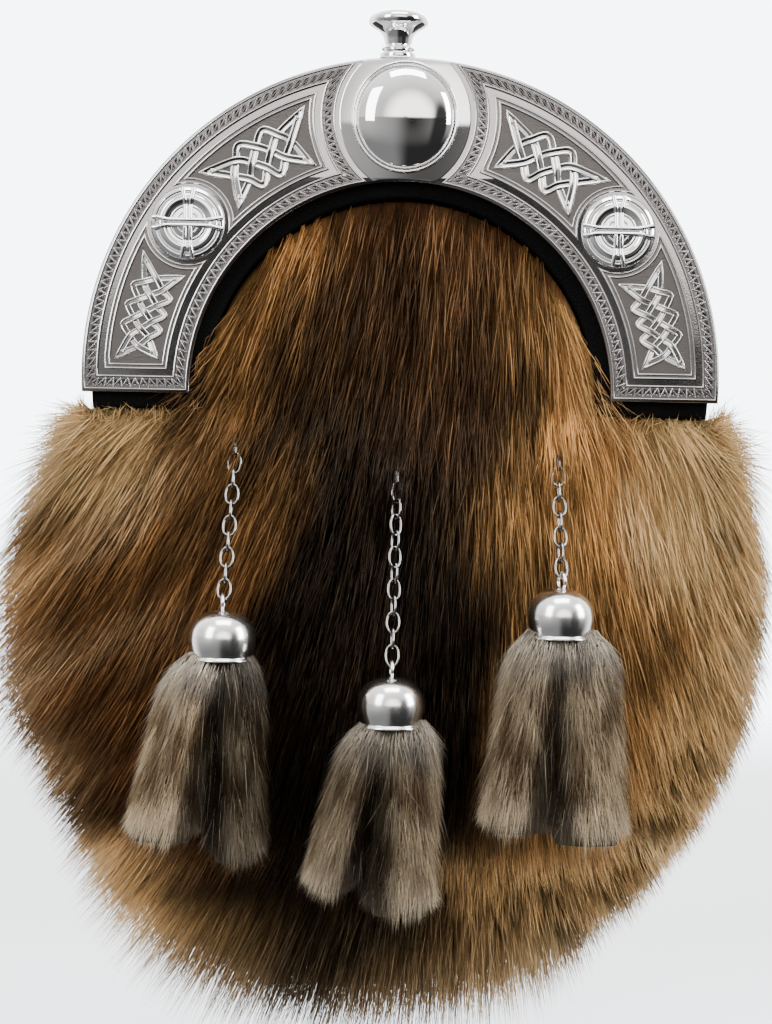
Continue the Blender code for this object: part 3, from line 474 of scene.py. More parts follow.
def softened_copy(node, name, edge_round):
    """A copy of a solid whose edges are rounded, in place of the solid."""
    piece = new_piece(name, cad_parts[node].data.copy())
    bpy.ops.object.mode_set(mode="EDIT")
    bpy.ops.mesh.select_all(action="SELECT")
    bpy.ops.mesh.remove_doubles(threshold=0.00001)
    bpy.ops.mesh.dissolve_limited(angle_limit=math.radians(3))
    bpy.ops.object.mode_set(mode="OBJECT")
    bevel = piece.modifiers.new("edge", "BEVEL")
    bevel.width = edge_round
    bevel.segments = 3
    bevel.limit_method = "ANGLE"
    bpy.ops.object.modifier_apply(modifier="edge")
    bpy.ops.object.shade_smooth_by_angle(angle=math.radians(35))
    piece.data.transform(Matrix.Translation(-arch_centre))
    return piece


keeper = softened_copy("belt_loop", "belt_keeper", 0.0005)
seat(keeper, black_leather, "black_leather", "belt_loop")
low, high = (corner - arch_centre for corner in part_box("belt_loop"))
flange_back_y = back_face_y + leather_thickness + 0.0003
stitch_places = []
for z in (low.z + 0.0025, high.z - 0.0025):
    for i in range(11):
        stitch_places.append(Matrix.Translation((-0.017 + stitch_pitch * i, flange_back_y + 0.0001, z)))
seat(copies("keeper_stitches", new_stitch(), stitch_places), thread, "black_leather")

# ---------------------------------------------------------------------------------------------------
# Leather arch. A flat black frame between the cantle and the pouch, which shows as a dark band inside
# the arch and as a short block under each leg. It is cut from thick leather with a dyed edge, and the
# leather's near-black is partly painted shade, for the deep gap between the cantle and the pelt.
cantle_outer_r = 0.0750
cantle_inner_r = 0.0495
cantle_drop = 0.0038
leg_bottom_z = -0.0050


def arch_loop(outer_r, inner_r, foot_z, outer_steps, inner_steps):
    outer_end = math.asin(foot_z / outer_r)
    inner_end = math.asin((foot_z + cantle_drop) / inner_r)
    loop = arc((0, 0), outer_r, outer_end, math.pi - outer_end, outer_steps)
    return loop + arc((0, -cantle_drop), inner_r, math.pi - inner_end, inner_end, inner_steps)


leather_arch = flat_piece(
    "arch_leather", [arch_loop(0.0729, 0.0458, arch_bottom_z, 128, 96)], -0.0211, -0.0171, 0.0007
)
seat(leather_arch, black_leather, "black_leather", "leather_arch")

# ---------------------------------------------------------------------------------------------------
# Cantle body. One casting in plated metal, bright-polished: a flat arch with a softened edge, turned
# back round its outer side in a thin wall that hides the edge of the leather.
field_y = -0.0234
plate_back_y = -0.0214

polish, given, found = new_group(
    "polish_wear", {"Base roughness": 0.08, "Spread": 0.08, "Marks per metre": 220}, ("Roughness", "Height")
)
spot = add_node(polish, "TexCoord").outputs["Object"]
smear = add_node(polish, "TexNoise", {"Vector": spot, "Scale": given["Marks per metre"], "Detail": 3})
fine = add_node(polish, "TexNoise", {"Vector": spot, "Scale": 2600, "Detail": 5})
wear = maths(polish, "MULTIPLY_ADD", smear.outputs["Fac"], given["Spread"], given["Base roughness"])
wire(found["Roughness"], wear)
wire(found["Height"], fine.outputs["Fac"])


def metal_finish(name, colour, base_roughness, spread, bump_depth=0.0):
    material, tree, shader = new_material(name, colour, base_roughness, 1.0)
    pattern = add_node(tree, "Group", node_tree=polish)
    wire(pattern.inputs["Base roughness"], base_roughness)
    wire(pattern.inputs["Spread"], spread)
    wire(shader.inputs["Roughness"], pattern.outputs["Roughness"])
    if bump_depth:
        raised(shader, pattern.outputs["Height"], 0.6, bump_depth)
    return material


plate_metal = metal_finish("plated_casting", (0.30, 0.29, 0.295), 0.06, 0.08, 0.00002)
bright_metal = metal_finish("bright_relief", (0.62, 0.61, 0.61), 0.10, 0.10)
mirror_metal = metal_finish("mirror_polish", (0.86, 0.86, 0.87), 0.02, 0.04)

body_loop = arch_loop(cantle_outer_r, cantle_inner_r, leg_bottom_z, 160, 120)
body = flat_piece("cantle_body", [body_loop], field_y, plate_back_y, 0.0006, 3)
rim_r = cantle_outer_r - 0.0004
rim_end = math.asin((leg_bottom_z + 0.0004) / rim_r)
rim_loop = arc((0, 0), rim_r, rim_end, math.pi - rim_end, 160)
rim_loop += arc((0, 0), rim_r - 0.0014, math.pi - rim_end, rim_end, 160)
wall = flat_piece("cantle_wall", [rim_loop], plate_back_y - 0.0008, -0.0155, 0.0002)
seat(body, plate_metal, "cast_metal", "cantle")
seat(wall, plate_metal, "cast_metal")

# ---------------------------------------------------------------------------------------------------
# Cantle relief. Cast in one with the body and polished on its high parts: a border with a zigzag band
# round each half, a double frame line round each of the four panels, and between them a plain groove.
boss_angle = math.radians(55.4)
boss_radius = 0.0613
boss_r = 0.0088
boss_centre = (boss_radius * math.sin(boss_angle), boss_radius * math.cos(boss_angle))
surround_centre = (-0.00272, 0.06088)
surround_r = 0.01863
far = 100.0  # A straight side is an arc of a circle this large.

outer_side = ((0, 0), cantle_outer_r, -1)
inner_side = ((0, -cantle_drop), cantle_inner_r, 1)
leg_side = ((0, leg_bottom_z - far), far, 1)
surround_side = (surround_centre, surround_r, 1)
boss_side = (boss_centre, boss_r - 0.0047, 1)
surround_from_inside = (surround_centre, surround_r, -1)
surround_left = ((-surround_centre[0], surround_centre[1]), surround_r, -1)

border_outline = (
    (outer_side, (0.070, -0.001)),
    (leg_side, (0.053, -0.001)),
    (inner_side, (0.013, 0.047)),
    (surround_side, (0.014, 0.072)),
)
upper_panel = (
    (outer_side, (0.051, 0.046)),
    (boss_side, (0.040, 0.035)),
    (inner_side, (0.017, 0.048)),
    (surround_side, (0.019, 0.065)),
)
lower_panel = (
    (outer_side, (0.069, 0.000)),
    (leg_side, (0.055, 0.000)),
    (inner_side, (0.049, 0.023)),
    (boss_side, (0.061, 0.032)),
)
surround_outline = (
    (outer_side, (0.010, 0.074)),
    (surround_from_inside, (0.008, 0.046)),
    (inner_side, (-0.008, 0.046)),
    (surround_left, (-0.010, 0.074)),
)


def meeting(first, second, inset, near):
    """Where two circular sides meet after each moves in by the inset, at the meeting near a guess."""
    first_r = first[1] + first[2] * inset
    second_r = second[1] + second[2] * inset
    apart = math.dist(first[0], second[0])
    along = (apart * apart + first_r * first_r - second_r * second_r) / (2 * apart)
    across = math.sqrt(first_r * first_r - along * along)
    ux = (second[0][0] - first[0][0]) / apart
    uz = (second[0][1] - first[0][1]) / apart
    foot = (first[0][0] + along * ux, first[0][1] + along * uz)
    both = [(foot[0] - sign * across * uz, foot[1] + sign * across * ux) for sign in (1, -1)]
    return min(both, key=lambda point: math.dist(point, near))


def sides_of(outline, inset):
    """The arcs of an outline moved in by the inset: centre, radius, first angle and turn of each."""
    corners = []
    for index, (side, near) in enumerate(outline):
        corners.append(meeting(side, outline[(index + 1) % len(outline)][0], inset, near))
    found = []
    for index, (side, _) in enumerate(outline):
        first, last = corners[index - 1], corners[index]
        start = math.atan2(first[1] - side[0][1], first[0] - side[0][0])
        stop = math.atan2(last[1] - side[0][1], last[0] - side[0][0])
        turn = (stop - start + math.pi) % (2 * math.pi) - math.pi
        found.append((side[0], side[1] + side[2] * inset, start, turn))
    return found


def on_side(side, share):
    centre, radius, start, turn = side
    angle = start + turn * share
    return Vector((centre[0] + radius * math.cos(angle), centre[1] + radius * math.sin(angle)))


def loop_of(outline, inset, mirror=1, step=0.0012):
    """An outline moved in by the inset, as a closed loop of (x, z)."""
    loop = []
    for side in sides_of(outline, inset):
        count = max(1, round(abs(side[3]) * side[1] / step))
        loop += [on_side(side, i / count) for i in range(count)]
    return [(mirror * p.x, p.y) for p in loop]


def joined(name, pieces):
    bpy.ops.object.select_all(action="DESELECT")
    for piece in pieces:
        piece.select_set(True)
    bpy.context.view_layer.objects.active = pieces[0]
    bpy.ops.object.join()
    piece = bpy.context.object
    piece.name = name
    piece.data.name = name
    return piece


def strip(outline, outside, inside, height, mirror, edge_round, steps=1):
    """A raised strip between two insets of an outline."""
    loops = [loop_of(outline, outside, mirror, 0.0016), loop_of(outline, inside, mirror, 0.0016)]
    return flat_piece("strip", loops, field_y - height, field_y + 0.0003, edge_round, steps)


lines = []
grounds = []
for mirror in (1, -1):
    grounds.append(strip(border_outline, 0.0009, 0.0037, 0.00010, mirror, 0.00004, 0))
    lines.append(strip(border_outline, 0.0006, 0.0010, 0.00050, mirror, 0.00018))
    lines.append(strip(border_outline, 0.0035, 0.0040, 0.00060, mirror, 0.00022))
    for panel in (upper_panel, lower_panel):
        grounds.append(strip(panel, 0.0055, 0.0067, 0.00012, mirror, 0.00004, 0))
        lines.append(strip(panel, 0.0054, 0.0059, 0.00055, mirror, 0.00022))
        lines.append(strip(panel, 0.0063, 0.0068, 0.00055, mirror, 0.00022))
ground_metal = metal_finish("border_ground", (0.19, 0.18, 0.185), 0.18, 0.12)
seat(joined("border_grounds", grounds), ground_metal, "cast_metal")


def zigzag(outline, mirror):
    """The zigzag line of the band along an outline."""
    outside = sides_of(outline, 0.0012)
    inside = sides_of(outline, 0.0034)
    line = []
    for out_side, in_side in zip(outside, inside):
        count = max(2, round(abs(out_side[3]) * out_side[1] / 0.0021))
        for i in range(count):
            line.append(on_side(out_side, i / count))
            line.append(on_side(in_side, (i + 0.5) / count))
    return [Vector((mirror * p.x, p.y)) for p in line]


def bead(name, points, radius, y):
    """A four-sided line of metal along a closed line of (x, z)."""
    path = [(point.x, y, point.y) for point in points]
    piece = curve_mesh(name, [path], dimensions="3D", bevel_depth=radius, bevel_resolution=0)
    bpy.ops.object.shade_smooth()
    return piece


def pyramids(name, line, y, height):
    """A low pyramid in each triangle of a zigzag line, a little smaller than the triangle."""
    points, faces = [], []
    count = len(line)
    for i in range(count):
        corners = [line[i], line[(i + 1) % count], line[(i + 2) % count]]
        middle_point = sum(corners, Vector((0, 0))) / 3
        base = len(points)
        for corner in corners:
            near = middle_point.lerp(corner, 0.50)
            points.append((near.x, y, near.y))
        points.append((middle_point.x, y - height, middle_point.y))
        faces += [(base, base + 1, base + 2)]
        faces += [(base + a, base + b, base + 3) for a, b in ((0, 1), (1, 2), (2, 0))]
    mesh = bpy.data.meshes.new(name)
    mesh.from_pydata(points, [], faces)
    piece = new_piece(name, mesh)
    cleaned()
    return piece


teeth = []
for mirror in (1, -1):
    band = zigzag(border_outline, mirror)
    lines.append(bead("zigzag", band, 0.00024, field_y - 0.00030))
    teeth.append(pyramids("teeth", band, field_y - 0.00008, 0.00040))
seat(joined("border_lines", lines), bright_metal, "cast_metal")
seat(joined("border_teeth", teeth), ground_metal, "cast_metal")

# ---------------------------------------------------------------------------------------------------
# Panel grounds. Inside each frame the casting is sunk and punched all over with fine pebbles, which
# the plating leaves matt and grey.
pebbled, tree, shader = new_material("pebbled_ground", (0.115, 0.108, 0.107), 0.42, 1.0)
spot = add_node(tree, "TexCoord").outputs["Object"]
pebbles = add_node(tree, "TexVoronoi", {"Vector": spot, "Scale": 3000})
raised(shader, pebbles.outputs["Distance"], 0.4, 0.00010, invert=True)
tint = add_node(tree, "TexNoise", {"Vector": spot, "Scale": 300, "Detail": 3}).outputs["Fac"]
wire(shader.inputs["Roughness"], ramp(tree, tint, 0, 1, 0.24, 0.40, "LINEAR"))

fields = []
for mirror in (1, -1):
    for panel in (upper_panel, lower_panel):
        loop = loop_of(panel, 0.0068, mirror)
        fields.append(flat_piece("field", [loop], field_y - 0.00006, field_y + 0.0003, 0.00002, 0))
seat(joined("panel_grounds", fields), pebbled, "cast_metal")

# ---------------------------------------------------------------------------------------------------
# Interlace. Each panel carries a plait of four flat strands, cast standing off the ground. A strand
# has two raised edges and a sunk middle, and passes over and under by turns.
strand_profile = (
    (-0.90, -0.35), (-0.88, 0.06), (-0.76, 0.27), (-0.60, 0.34), (-0.44, 0.27), (-0.26, 0.02),
    (0.26, 0.02), (0.44, 0.27), (0.60, 0.34), (0.76, 0.27), (0.88, 0.06), (0.90, -0.35),
)


def panel_place(sides, along, across):
    """A point of a four-sided panel, along its outer side and across from its inner side."""
    outer, far_end, inner, near_end = sides
    lengthways = (1 - across) * on_side(inner, 1 - along) + across * on_side(outer, along)
    crossways = (1 - along) * on_side(near_end, across) + along * on_side(far_end, 1 - across)
    corners = (1 - along) * ((1 - across) * on_side(near_end, 0) + across * on_side(near_end, 1))
    corners += along * ((1 - across) * on_side(far_end, 1) + across * on_side(far_end, 0))
    return lengthways + crossways - corners


def fold(distance, span):
    distance %= 2 * span
    return distance if distance < span else 2 * span - distance


def strand_path(loops, start, mirror, sides):
    """Control points of one strand: (x, z) and a height of 1, 0 or -1 where it goes over, turns or under."""
    points = []
    period = 2 * math.lcm(2 * loops, 4)
    skip = False
    for step in range(period):
        walked = step / 2
        along = fold(walked, loops)
        across = fold(walked + 0.5 + start, 2)
        at_end = along in (0, loops)
        at_edge = across in (0, 2)
        if skip:
            skip = False
            continue
        if at_end or at_edge:
            following = fold(walked + 0.5, loops), fold(walked + 1.0 + start, 2)
            if following[0] in (0, loops) or following[1] in (0, 2):
                corner_along = along if at_end else following[0]
                corner_across = across if at_edge else following[1]
                points.append((corner_along / loops, corner_across / 2, 0, True))
                skip = True
            else:
                points.append((along / loops, across / 2, 0, False))
            continue
        rising = (walked % (2 * loops) < loops) == ((walked + 0.5 + start) % 4 < 2)
        sign = 1 if rising else -1
        points.append((along / loops, across / 2, sign * (-1) ** round(2 * along), False))
    if skip:
        points = points[1:]
    found = []
    for along, across, over, corner in points:
        place = panel_place(sides, along, across)
        found.append((Vector((mirror * place.x, place.y)), over, corner))
    return found


def curved(start, out_slope, end, in_slope, t):
    """A place on the smooth curve between two points that has these slopes at its ends."""
    leaving = (2 * t**3 - 3 * t**2 + 1) * start + (t**3 - 2 * t**2 + t) * out_slope
    return leaving + (3 * t**2 - 2 * t**3) * end + (t**3 - t**2) * in_slope


def eased_path(points, steps):
    """A smooth closed path through control points, which keeps its corners sharp."""
    path = []
    count = len(points)
    for i in range(count):
        before, here, there, after = (points[(i + k) % count] for k in (-1, 0, 1, 2))
        out_slope = there[0] - here[0] if here[2] else (there[0] - before[0]) / 2
        in_slope = there[0] - here[0] if there[2] else (after[0] - here[0]) / 2
        for step in range(steps):
            t = step / steps
            ease = t * t * (3 - 2 * t)
            place = curved(here[0], out_slope, there[0], in_slope, t)
            path.append((place, here[1] * (1 - ease) + there[1] * ease))
    return path


def strand_mesh(name, path, half_width, height, lift):
    """A strand's profile carried along a closed path, with mitred corners."""
    count = len(path)
    points = []
    for i in range(count):
        before, here, there = path[i - 1][0], path[i][0], path[(i + 1) % count][0]
        first = (here - before).normalized()
        second = (there - here).normalized()
        along = first + second
        along = second if along.length < 0.05 else along.normalized()
        widen = min(1 / max(along.dot(second), 0.35), 2.2)
        side = Vector((along.y, -along.x)) * half_width * widen
        for across, up in strand_profile:
            place = here + side * across
            points.append((place.x, field_y - lift * path[i][1] - 0.00022 - height * up, place.y))
    size = len(strand_profile)
    faces = []
    for i in range(count):
        j = (i + 1) % count
        for k in range(size):
            m = (k + 1) % size
            faces.append((i * size + k, i * size + m, j * size + m, j * size + k))
    mesh = bpy.data.meshes.new(name)
    mesh.from_pydata(points, [], faces)
    mesh.shade_smooth()
    sunk = [face % size == size // 2 - 1 for face in range(len(faces))]
    mesh.polygons.foreach_set("material_index", np.array(sunk, np.int32))
    piece = new_piece(name, mesh)
    cleaned()
    bpy.ops.object.shade_smooth_by_angle(angle=math.radians(50))
    return piece


strands = []
for mirror in (1, -1):
    for panel, loops, half_width in ((upper_panel, 4, 0.00112), (lower_panel, 5, 0.00092)):
        sides = sides_of(panel, 0.0088)
        for start in range(math.gcd(loops, 2)):
            path = eased_path(strand_path(loops, start, mirror, sides), 7)
            strands.append(strand_mesh("strand", path, half_width, 0.00085, 0.00020))
interlace = joined("interlace", strands)
seat(interlace, bright_metal, "cast_metal")
interlace.data.materials.append(ground_metal)

# ---------------------------------------------------------------------------------------------------
# Centre of the cantle. A smooth raised surround, cast with the body, and on it an oval dome, domed
# from sheet, mirror-polished and set in a thin bezel.
dome_z = 0.0606
dome_width = 0.0252
dome_height = 0.0266

surround_front_y = field_y - 0.0006
surround_loop = loop_of(surround_outline, 0.0004)
surround = flat_piece("centre_surround", [surround_loop], surround_front_y, field_y + 0.0003, 0.0003, 1)
seat(surround, mirror_metal, "cast_metal")


def turned(name, profile, segments):
    """A piece turned about the height axis, from the top of its profile of (radius, height) down."""
    bpy.ops.object.select_all(action="DESELECT")
    radius, level = profile[0]
    bpy.ops.mesh.primitive_circle_add(
        vertices=segments, radius=radius, fill_type="NGON", location=(0, 0, level)
    )
    piece = bpy.context.object
    piece.name = name
    bpy.ops.object.mode_set(mode="EDIT")
    bpy.ops.mesh.select_all(action="SELECT")
    for next_radius, next_level in profile[1:]:
        bpy.ops.mesh.extrude_region_move(TRANSFORM_OT_translate={"value": (0, 0, next_level - level)})
        share = next_radius / radius
        bpy.ops.transform.resize(value=(share, share, 1), center_override=(0, 0, next_level))
        radius, level = next_radius, next_level
    bpy.ops.mesh.select_all(action="SELECT")
    bpy.ops.mesh.normals_make_consistent(inside=False)
    bpy.ops.object.mode_set(mode="OBJECT")
    bpy.ops.object.shade_smooth_by_angle(angle=math.radians(40))
    bpy.ops.object.transform_apply(location=True)
    return piece


def rounded_profile(points, steps):
    """A profile drawn smoothly through points of (radius, height)."""
    points = [np.array(point) for point in points]
    path = []
    for i, (here, there) in enumerate(zip(points, points[1:])):
        out_slope = (there - points[max(i - 1, 0)]) / 2
        in_slope = (points[min(i + 2, len(points) - 1)] - here) / 2
        path += [tuple(curved(here, out_slope, there, in_slope, step / steps)) for step in range(steps)]
    return path + [tuple(points[-1])]


half = dome_width / 2
crown = []
for i in range(19):
    angle = math.pi / 2 * i / 18
    crown.append((half * 0.93 * max(math.sin(angle), 0.004), 0.0006 + 0.0046 * math.cos(angle)))
dome = turned("centre_dome_polished", crown + [(half * 0.93, 0.0), (0.0001, 0.0)], 96)
bpy.ops.object.select_all(action="DESELECT")
bpy.ops.mesh.primitive_torus_add(
    major_segments=96, minor_segments=14, major_radius=half * 0.965, minor_radius=half * 0.036
)
bezel = bpy.context.object
bpy.ops.transform.translate(value=(0, 0, 0.0008))
bpy.ops.transform.resize(value=(1, 1, 1.6), center_override=(0, 0, 0))
bpy.ops.object.transform_apply(location=True, scale=True)
bpy.ops.object.shade_smooth()
dome = joined("centre_dome_polished", [dome, bezel])
stretch = Matrix.Diagonal((1, 1, dome_height / dome_width, 1))
facing_front = Matrix.Rotation(math.pi / 2, 4, "X")
dome.data.transform(Matrix.Translation((0, surround_front_y - 0.0003, dome_z)) @ stretch @ facing_front)
seat(dome, mirror_metal, "polished_metal", "centre_dome")

# ---------------------------------------------------------------------------------------------------
# Bosses. A round domed boss is riveted on at each shoulder. Its raised cross has arms of two ribs that
# run through a ring, inside a plain rolled rim, all bright-polished.
boss_metal = metal_finish("boss_polish", (0.84, 0.84, 0.86), 0.05, 0.06)


def boss_height(radius):
    """How far the boss's dome stands out at a distance from its middle."""
    return 0.0004 + 0.0017 * math.sqrt(max(0, 1 - (radius / 0.0094) ** 2))


def wire_along(name, points, radius):
    """A round wire along points in space, its ends closed."""
    piece = curve_mesh(
        name, [points], False, dimensions="3D", bevel_depth=radius, bevel_resolution=2, use_fill_caps=True
    )
    cleaned(0.000004)
    bpy.ops.object.shade_smooth_by_angle(angle=math.radians(60))
    return piece


def make_boss(name, centre_x):
    """A boss: rim, groove, plain ring and sunk middle in one turning, with arcs and a cross over them."""
    shares = ((0.02, 0), (0.15, 0), (0.30, 0), (0.44, 0), (0.55, 0), (0.585, 0.5), (0.62, 1), (0.66, 1.15))
    shares += ((0.72, 1.15), (0.77, 1), (0.795, 0.3), (0.81, -0.6), (0.845, -0.6), (0.86, 0.4), (0.88, 1.2))
    profile = [(share * boss_r, boss_height(share * boss_r) + 0.00042 * rise) for share, rise in shares]
    profile += [(0.93 * boss_r, 0.00165), (0.965 * boss_r, 0.0014), (0.99 * boss_r, 0.0010), (boss_r, 0.0005)]
    profile += [(boss_r, 0), (0.0002, 0)]
    pieces = [turned(name, profile, 72)]
    for ring_r, radius, gap in ((0.0026, 0.00030, 0.42), (0.0040, 0.00034, 0.27)):
        for quarter in range(4):
            start = math.pi / 2 * quarter + gap
            stop = math.pi / 2 * (quarter + 1) - gap
            angles = [start + (stop - start) * i / 10 for i in range(11)]
            points = [(ring_r * math.cos(a), ring_r * math.sin(a), boss_height(ring_r)) for a in angles]
            pieces.append(wire_along("ring", points, radius))
    for turn in range(4):
        angle = math.pi / 2 * turn
        inner = 0.0010 if turn % 2 else 0.0
        for side in (-1, 1):
            points = []
            for i in range(13):
                reach_out = inner + (0.0082 - inner) * i / 12
                over = 0.00042 * smooth((reach_out - 0.0046) / 0.0006)
                rise = boss_height(reach_out) + over * (1.4 if turn % 2 else 1) + 0.00025
                flare = side * (0.00064 + 0.00060 * smooth((reach_out - 0.0045) / 0.0036))
                x = reach_out * math.cos(angle) - flare * math.sin(angle)
                y = reach_out * math.sin(angle) + flare * math.cos(angle)
                points.append((x, y, float(rise)))
            pieces.append(wire_along("arm", points, 0.00054))
    boss = joined(name, pieces)
    boss.data.transform(Matrix.Translation((centre_x, field_y - 0.0003, boss_centre[1])) @ facing_front)
    return boss


seat(make_boss("boss_left_cast", -boss_centre[0]), boss_metal, "polished_metal", "boss_left")
seat(make_boss("boss_right_cast", boss_centre[0]), boss_metal, "polished_metal", "boss_right")

# ---------------------------------------------------------------------------------------------------
# Finial knob. Turned from solid bar and plated: a mushroom head on a trumpet neck over two collars,
# screwed into the top of the cantle.
knob_points = [
    (0.0002, 0.0112), (0.0030, 0.0111), (0.0052, 0.0107), (0.0065, 0.0100), (0.00705, 0.0090),
    (0.0069, 0.0080), (0.0060, 0.0073), (0.0046, 0.0065), (0.0036, 0.0052), (0.0032, 0.0036),
    (0.0031, 0.0028), (0.0038, 0.0024), (0.0039, 0.0020), (0.0034, 0.0016), (0.0041, 0.0011),
    (0.0043, 0.0006), (0.0043, 0.0000),
]
knob = turned("knob_turned", rounded_profile(knob_points, 3) + [(0.0002, 0.0)], 64)
knob.data.transform(Matrix.Translation((-0.0020, (field_y - 0.0155) / 2, cantle_outer_r + 0.0003)))
seat(knob, mirror_metal, "polished_metal", "finial_knob")

# ---------------------------------------------------------------------------------------------------
# Chains. Fine cable chain of oval wire links, each bent round and butted. The top link hangs on a plain
# eye that is riveted through the pelt. Every link lies where its solid lies.
chain_metal = metal_finish("chain_wire", (0.28, 0.275, 0.27), 0.10, 0.12)


def cad_place(node):
    """The middle of a solid and its long, middle and short directions."""
    points = np.unique(np.array([v.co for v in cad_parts[node].data.vertices]).round(7), axis=0)
    spread = np.linalg.eigh(np.cov((points - points.mean(axis=0)).T))[1]
    short, width, long = (Vector(spread[:, k]) for k in range(3))
    if long.z < 0:
        long = -long
    return Vector(points.mean(axis=0)), long, long.cross(short), short


bpy.ops.object.select_all(action="DESELECT")
link_bend_r = 0.00147
link_wire_r = 0.00031
bpy.ops.mesh.primitive_torus_add(
    major_segments=28, minor_segments=8, major_radius=link_bend_r, minor_radius=link_wire_r
)
link = bpy.context.object
for vertex in link.data.vertices:
    around = math.atan2(vertex.co.y, vertex.co.x)
    vertex.co.y += 0.00095 * math.sin(around) * (1 + 0.35 * math.cos(around) ** 2)
bpy.ops.object.shade_smooth()
link_nodes = sorted(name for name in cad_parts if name.startswith("link_"))
for side_name in ("left", "middle", "right"):
    nodes = [name for name in link_nodes if side_name in name]
    places = []
    for node in nodes:
        centre, long, width, short = cad_place(node)
        turn = Matrix((width, long, short)).transposed().to_4x4()
        places.append(Matrix.Translation(centre - arch_centre) @ turn)
    pattern = bpy.data.objects.new("pattern", link.data.copy())
    seat(copies(f"chain_{side_name}", pattern, places), chain_metal, "chain_metal", *nodes)
    post_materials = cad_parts[f"chain_post_{side_name}"].data.materials
    post_materials.clear()
    post_materials.append(chain_metal)
bpy.data.objects.remove(link)

# ---------------------------------------------------------------------------------------------------
# Bell caps. Spun from sheet, plated and polished under a clear coat: a round bell that draws in at the
# mouth to a rolled lip, with a wire eye in its crown. The head of the tassel is glued up inside it.
cap_points = [
    (0.0002, 0.0059), (0.0022, 0.00575), (0.0044, 0.0050), (0.0062, 0.0036), (0.00735, 0.0016),
    (0.00775, -0.0008), (0.0075, -0.0030), (0.0071, -0.0044), (0.0070, -0.0050), (0.0073, -0.0053),
    (0.0074, -0.0057), (0.0070, -0.0059), (0.0065, -0.0058),
]
cap_inside = [(0.0063, -0.0045), (0.0069, -0.0008), (0.0062, 0.0018), (0.0040, 0.0040), (0.0002, 0.0049)]
cap_height = 0.0059
eye_low = 0.0125  # Above the lip there is only the eye.
eye_r = 0.0019
eye_wire_r = 0.00042
cap_metal = metal_finish("cap_polish", (0.88, 0.88, 0.88), 0.17, 0.05)
cap_shader = cap_metal.node_tree.nodes["Principled BSDF"]
wire(cap_shader.inputs["Coat Weight"], 1.0)
wire(cap_shader.inputs["Coat Roughness"], 0.03)


def cap_centre(side_name):
    low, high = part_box(f"bell_cap_{side_name}")
    return Vector(((low.x + high.x) / 2, (low.y + high.y) / 2, low.z + cap_height)) - arch_centre


for side_name in ("left", "middle", "right"):
    cap = turned(f"cap_{side_name}", rounded_profile(cap_points, 4) + cap_inside, 64)
    node_points = np.array([v.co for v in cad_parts[f"bell_cap_{side_name}"].data.vertices])
    eye_points = node_points[node_points[:, 2] > node_points[:, 2].min() + eye_low]
    spread = np.linalg.eigh(np.cov(eye_points[:, :2].T))[1][:, 1]
    bpy.ops.object.select_all(action="DESELECT")
    bpy.ops.mesh.primitive_torus_add(
        major_segments=32, minor_segments=10, major_radius=eye_r, minor_radius=eye_wire_r,
        location=(0, 0, 0.0075), rotation=(math.pi / 2, 0, math.atan2(spread[1], spread[0])),
    )
    eye = bpy.context.object
    bpy.ops.object.transform_apply(location=True, rotation=True)
    bpy.ops.object.shade_smooth()
    cap = joined(f"cap_{side_name}", [cap, eye])
    cap.data.transform(Matrix.Translation(cap_centre(side_name)))
    seat(cap, cap_metal, "polished_metal", f"bell_cap_{side_name}")

# ---------------------------------------------------------------------------------------------------
# Pelt. A fur skin, glued and sewn over the leather with the hair running down. It has a dense soft
# undercoat and long guard hair: near black down the middle, golden brown beside it, pale outside.
random_hair = np.random.default_rng(11)


def linear(red, green, blue):
    """A colour as a paint chart gives it, 0 to 255, turned to light."""
    values = np.array([red, green, blue]) / 255
    return np.where(values <= 0.04045, values / 12.92, ((values + 0.055) / 1.055) ** 2.4)


near_black = linear(23, 14, 8)
dark_brown = linear(76, 51, 30)
russet = linear(86, 52, 25)
chestnut = linear(113, 73, 37)
golden = linear(166, 125, 73)
beige = linear(192, 161, 112)
cream = linear(214, 189, 148)


def lay(x, z):
    """How far the hair leans from straight down, in radians: out to both sides, more on the left, and
    fanned out round the bottom."""
    lean = np.radians(-8 + 330 * x)
    fan = 0.85 * np.arctan2(x - 0.017, -0.048 - z)
    fanned = smooth((-0.085 - z) / 0.045)
    return lean * (1 - fanned) + fan * fanned


def outline_share(x, z):
    """How far out a place lies: 0 in the middle of the pouch, 1 on its outline."""
    drop = np.clip((hip_z - z) / (hip_z - bottom_z), 0, 1)
    low_half_width = hip_half_width * (1 - drop**bottom_roundness) ** (1 / bottom_roundness)
    hip = top_r + (hip_half_width - top_r) * smooth(z / hip_z)
    top = np.sqrt(np.clip(top_r**2 - z**2, 1e-8, None))
    half_width = np.where(z > 0, top, np.where(z > hip_z, hip, low_half_width))
    sideways = np.abs(x) / np.maximum(half_width, 0.004)
    return np.maximum(np.minimum(sideways, 1.1), np.clip((-0.03 - z) / 0.102, 0, None))


def blotches(x, z, size, seed):
    """Soft noise, drawn out along the lay of the hair."""
    lean = lay(x, z)
    down = x * np.sin(lean) - z * np.cos(lean)
    side = x * np.cos(lean) + z * np.sin(lean)
    values = [noise.noise(Vector((s / size, d / (size * 3.5), seed))) for s, d in zip(side, down)]
    return np.array(values)


def mixed(first, second, share):
    share = np.clip(share, 0, 1)[:, None]
    return first * (1 - share) + second * share


def near(x, z, place, size):
    """1 in the middle of a soft oval patch and 0 outside it."""
    return smooth(1.3 - np.hypot((x - place[0]) / size[0], (z - place[1]) / size[1]))


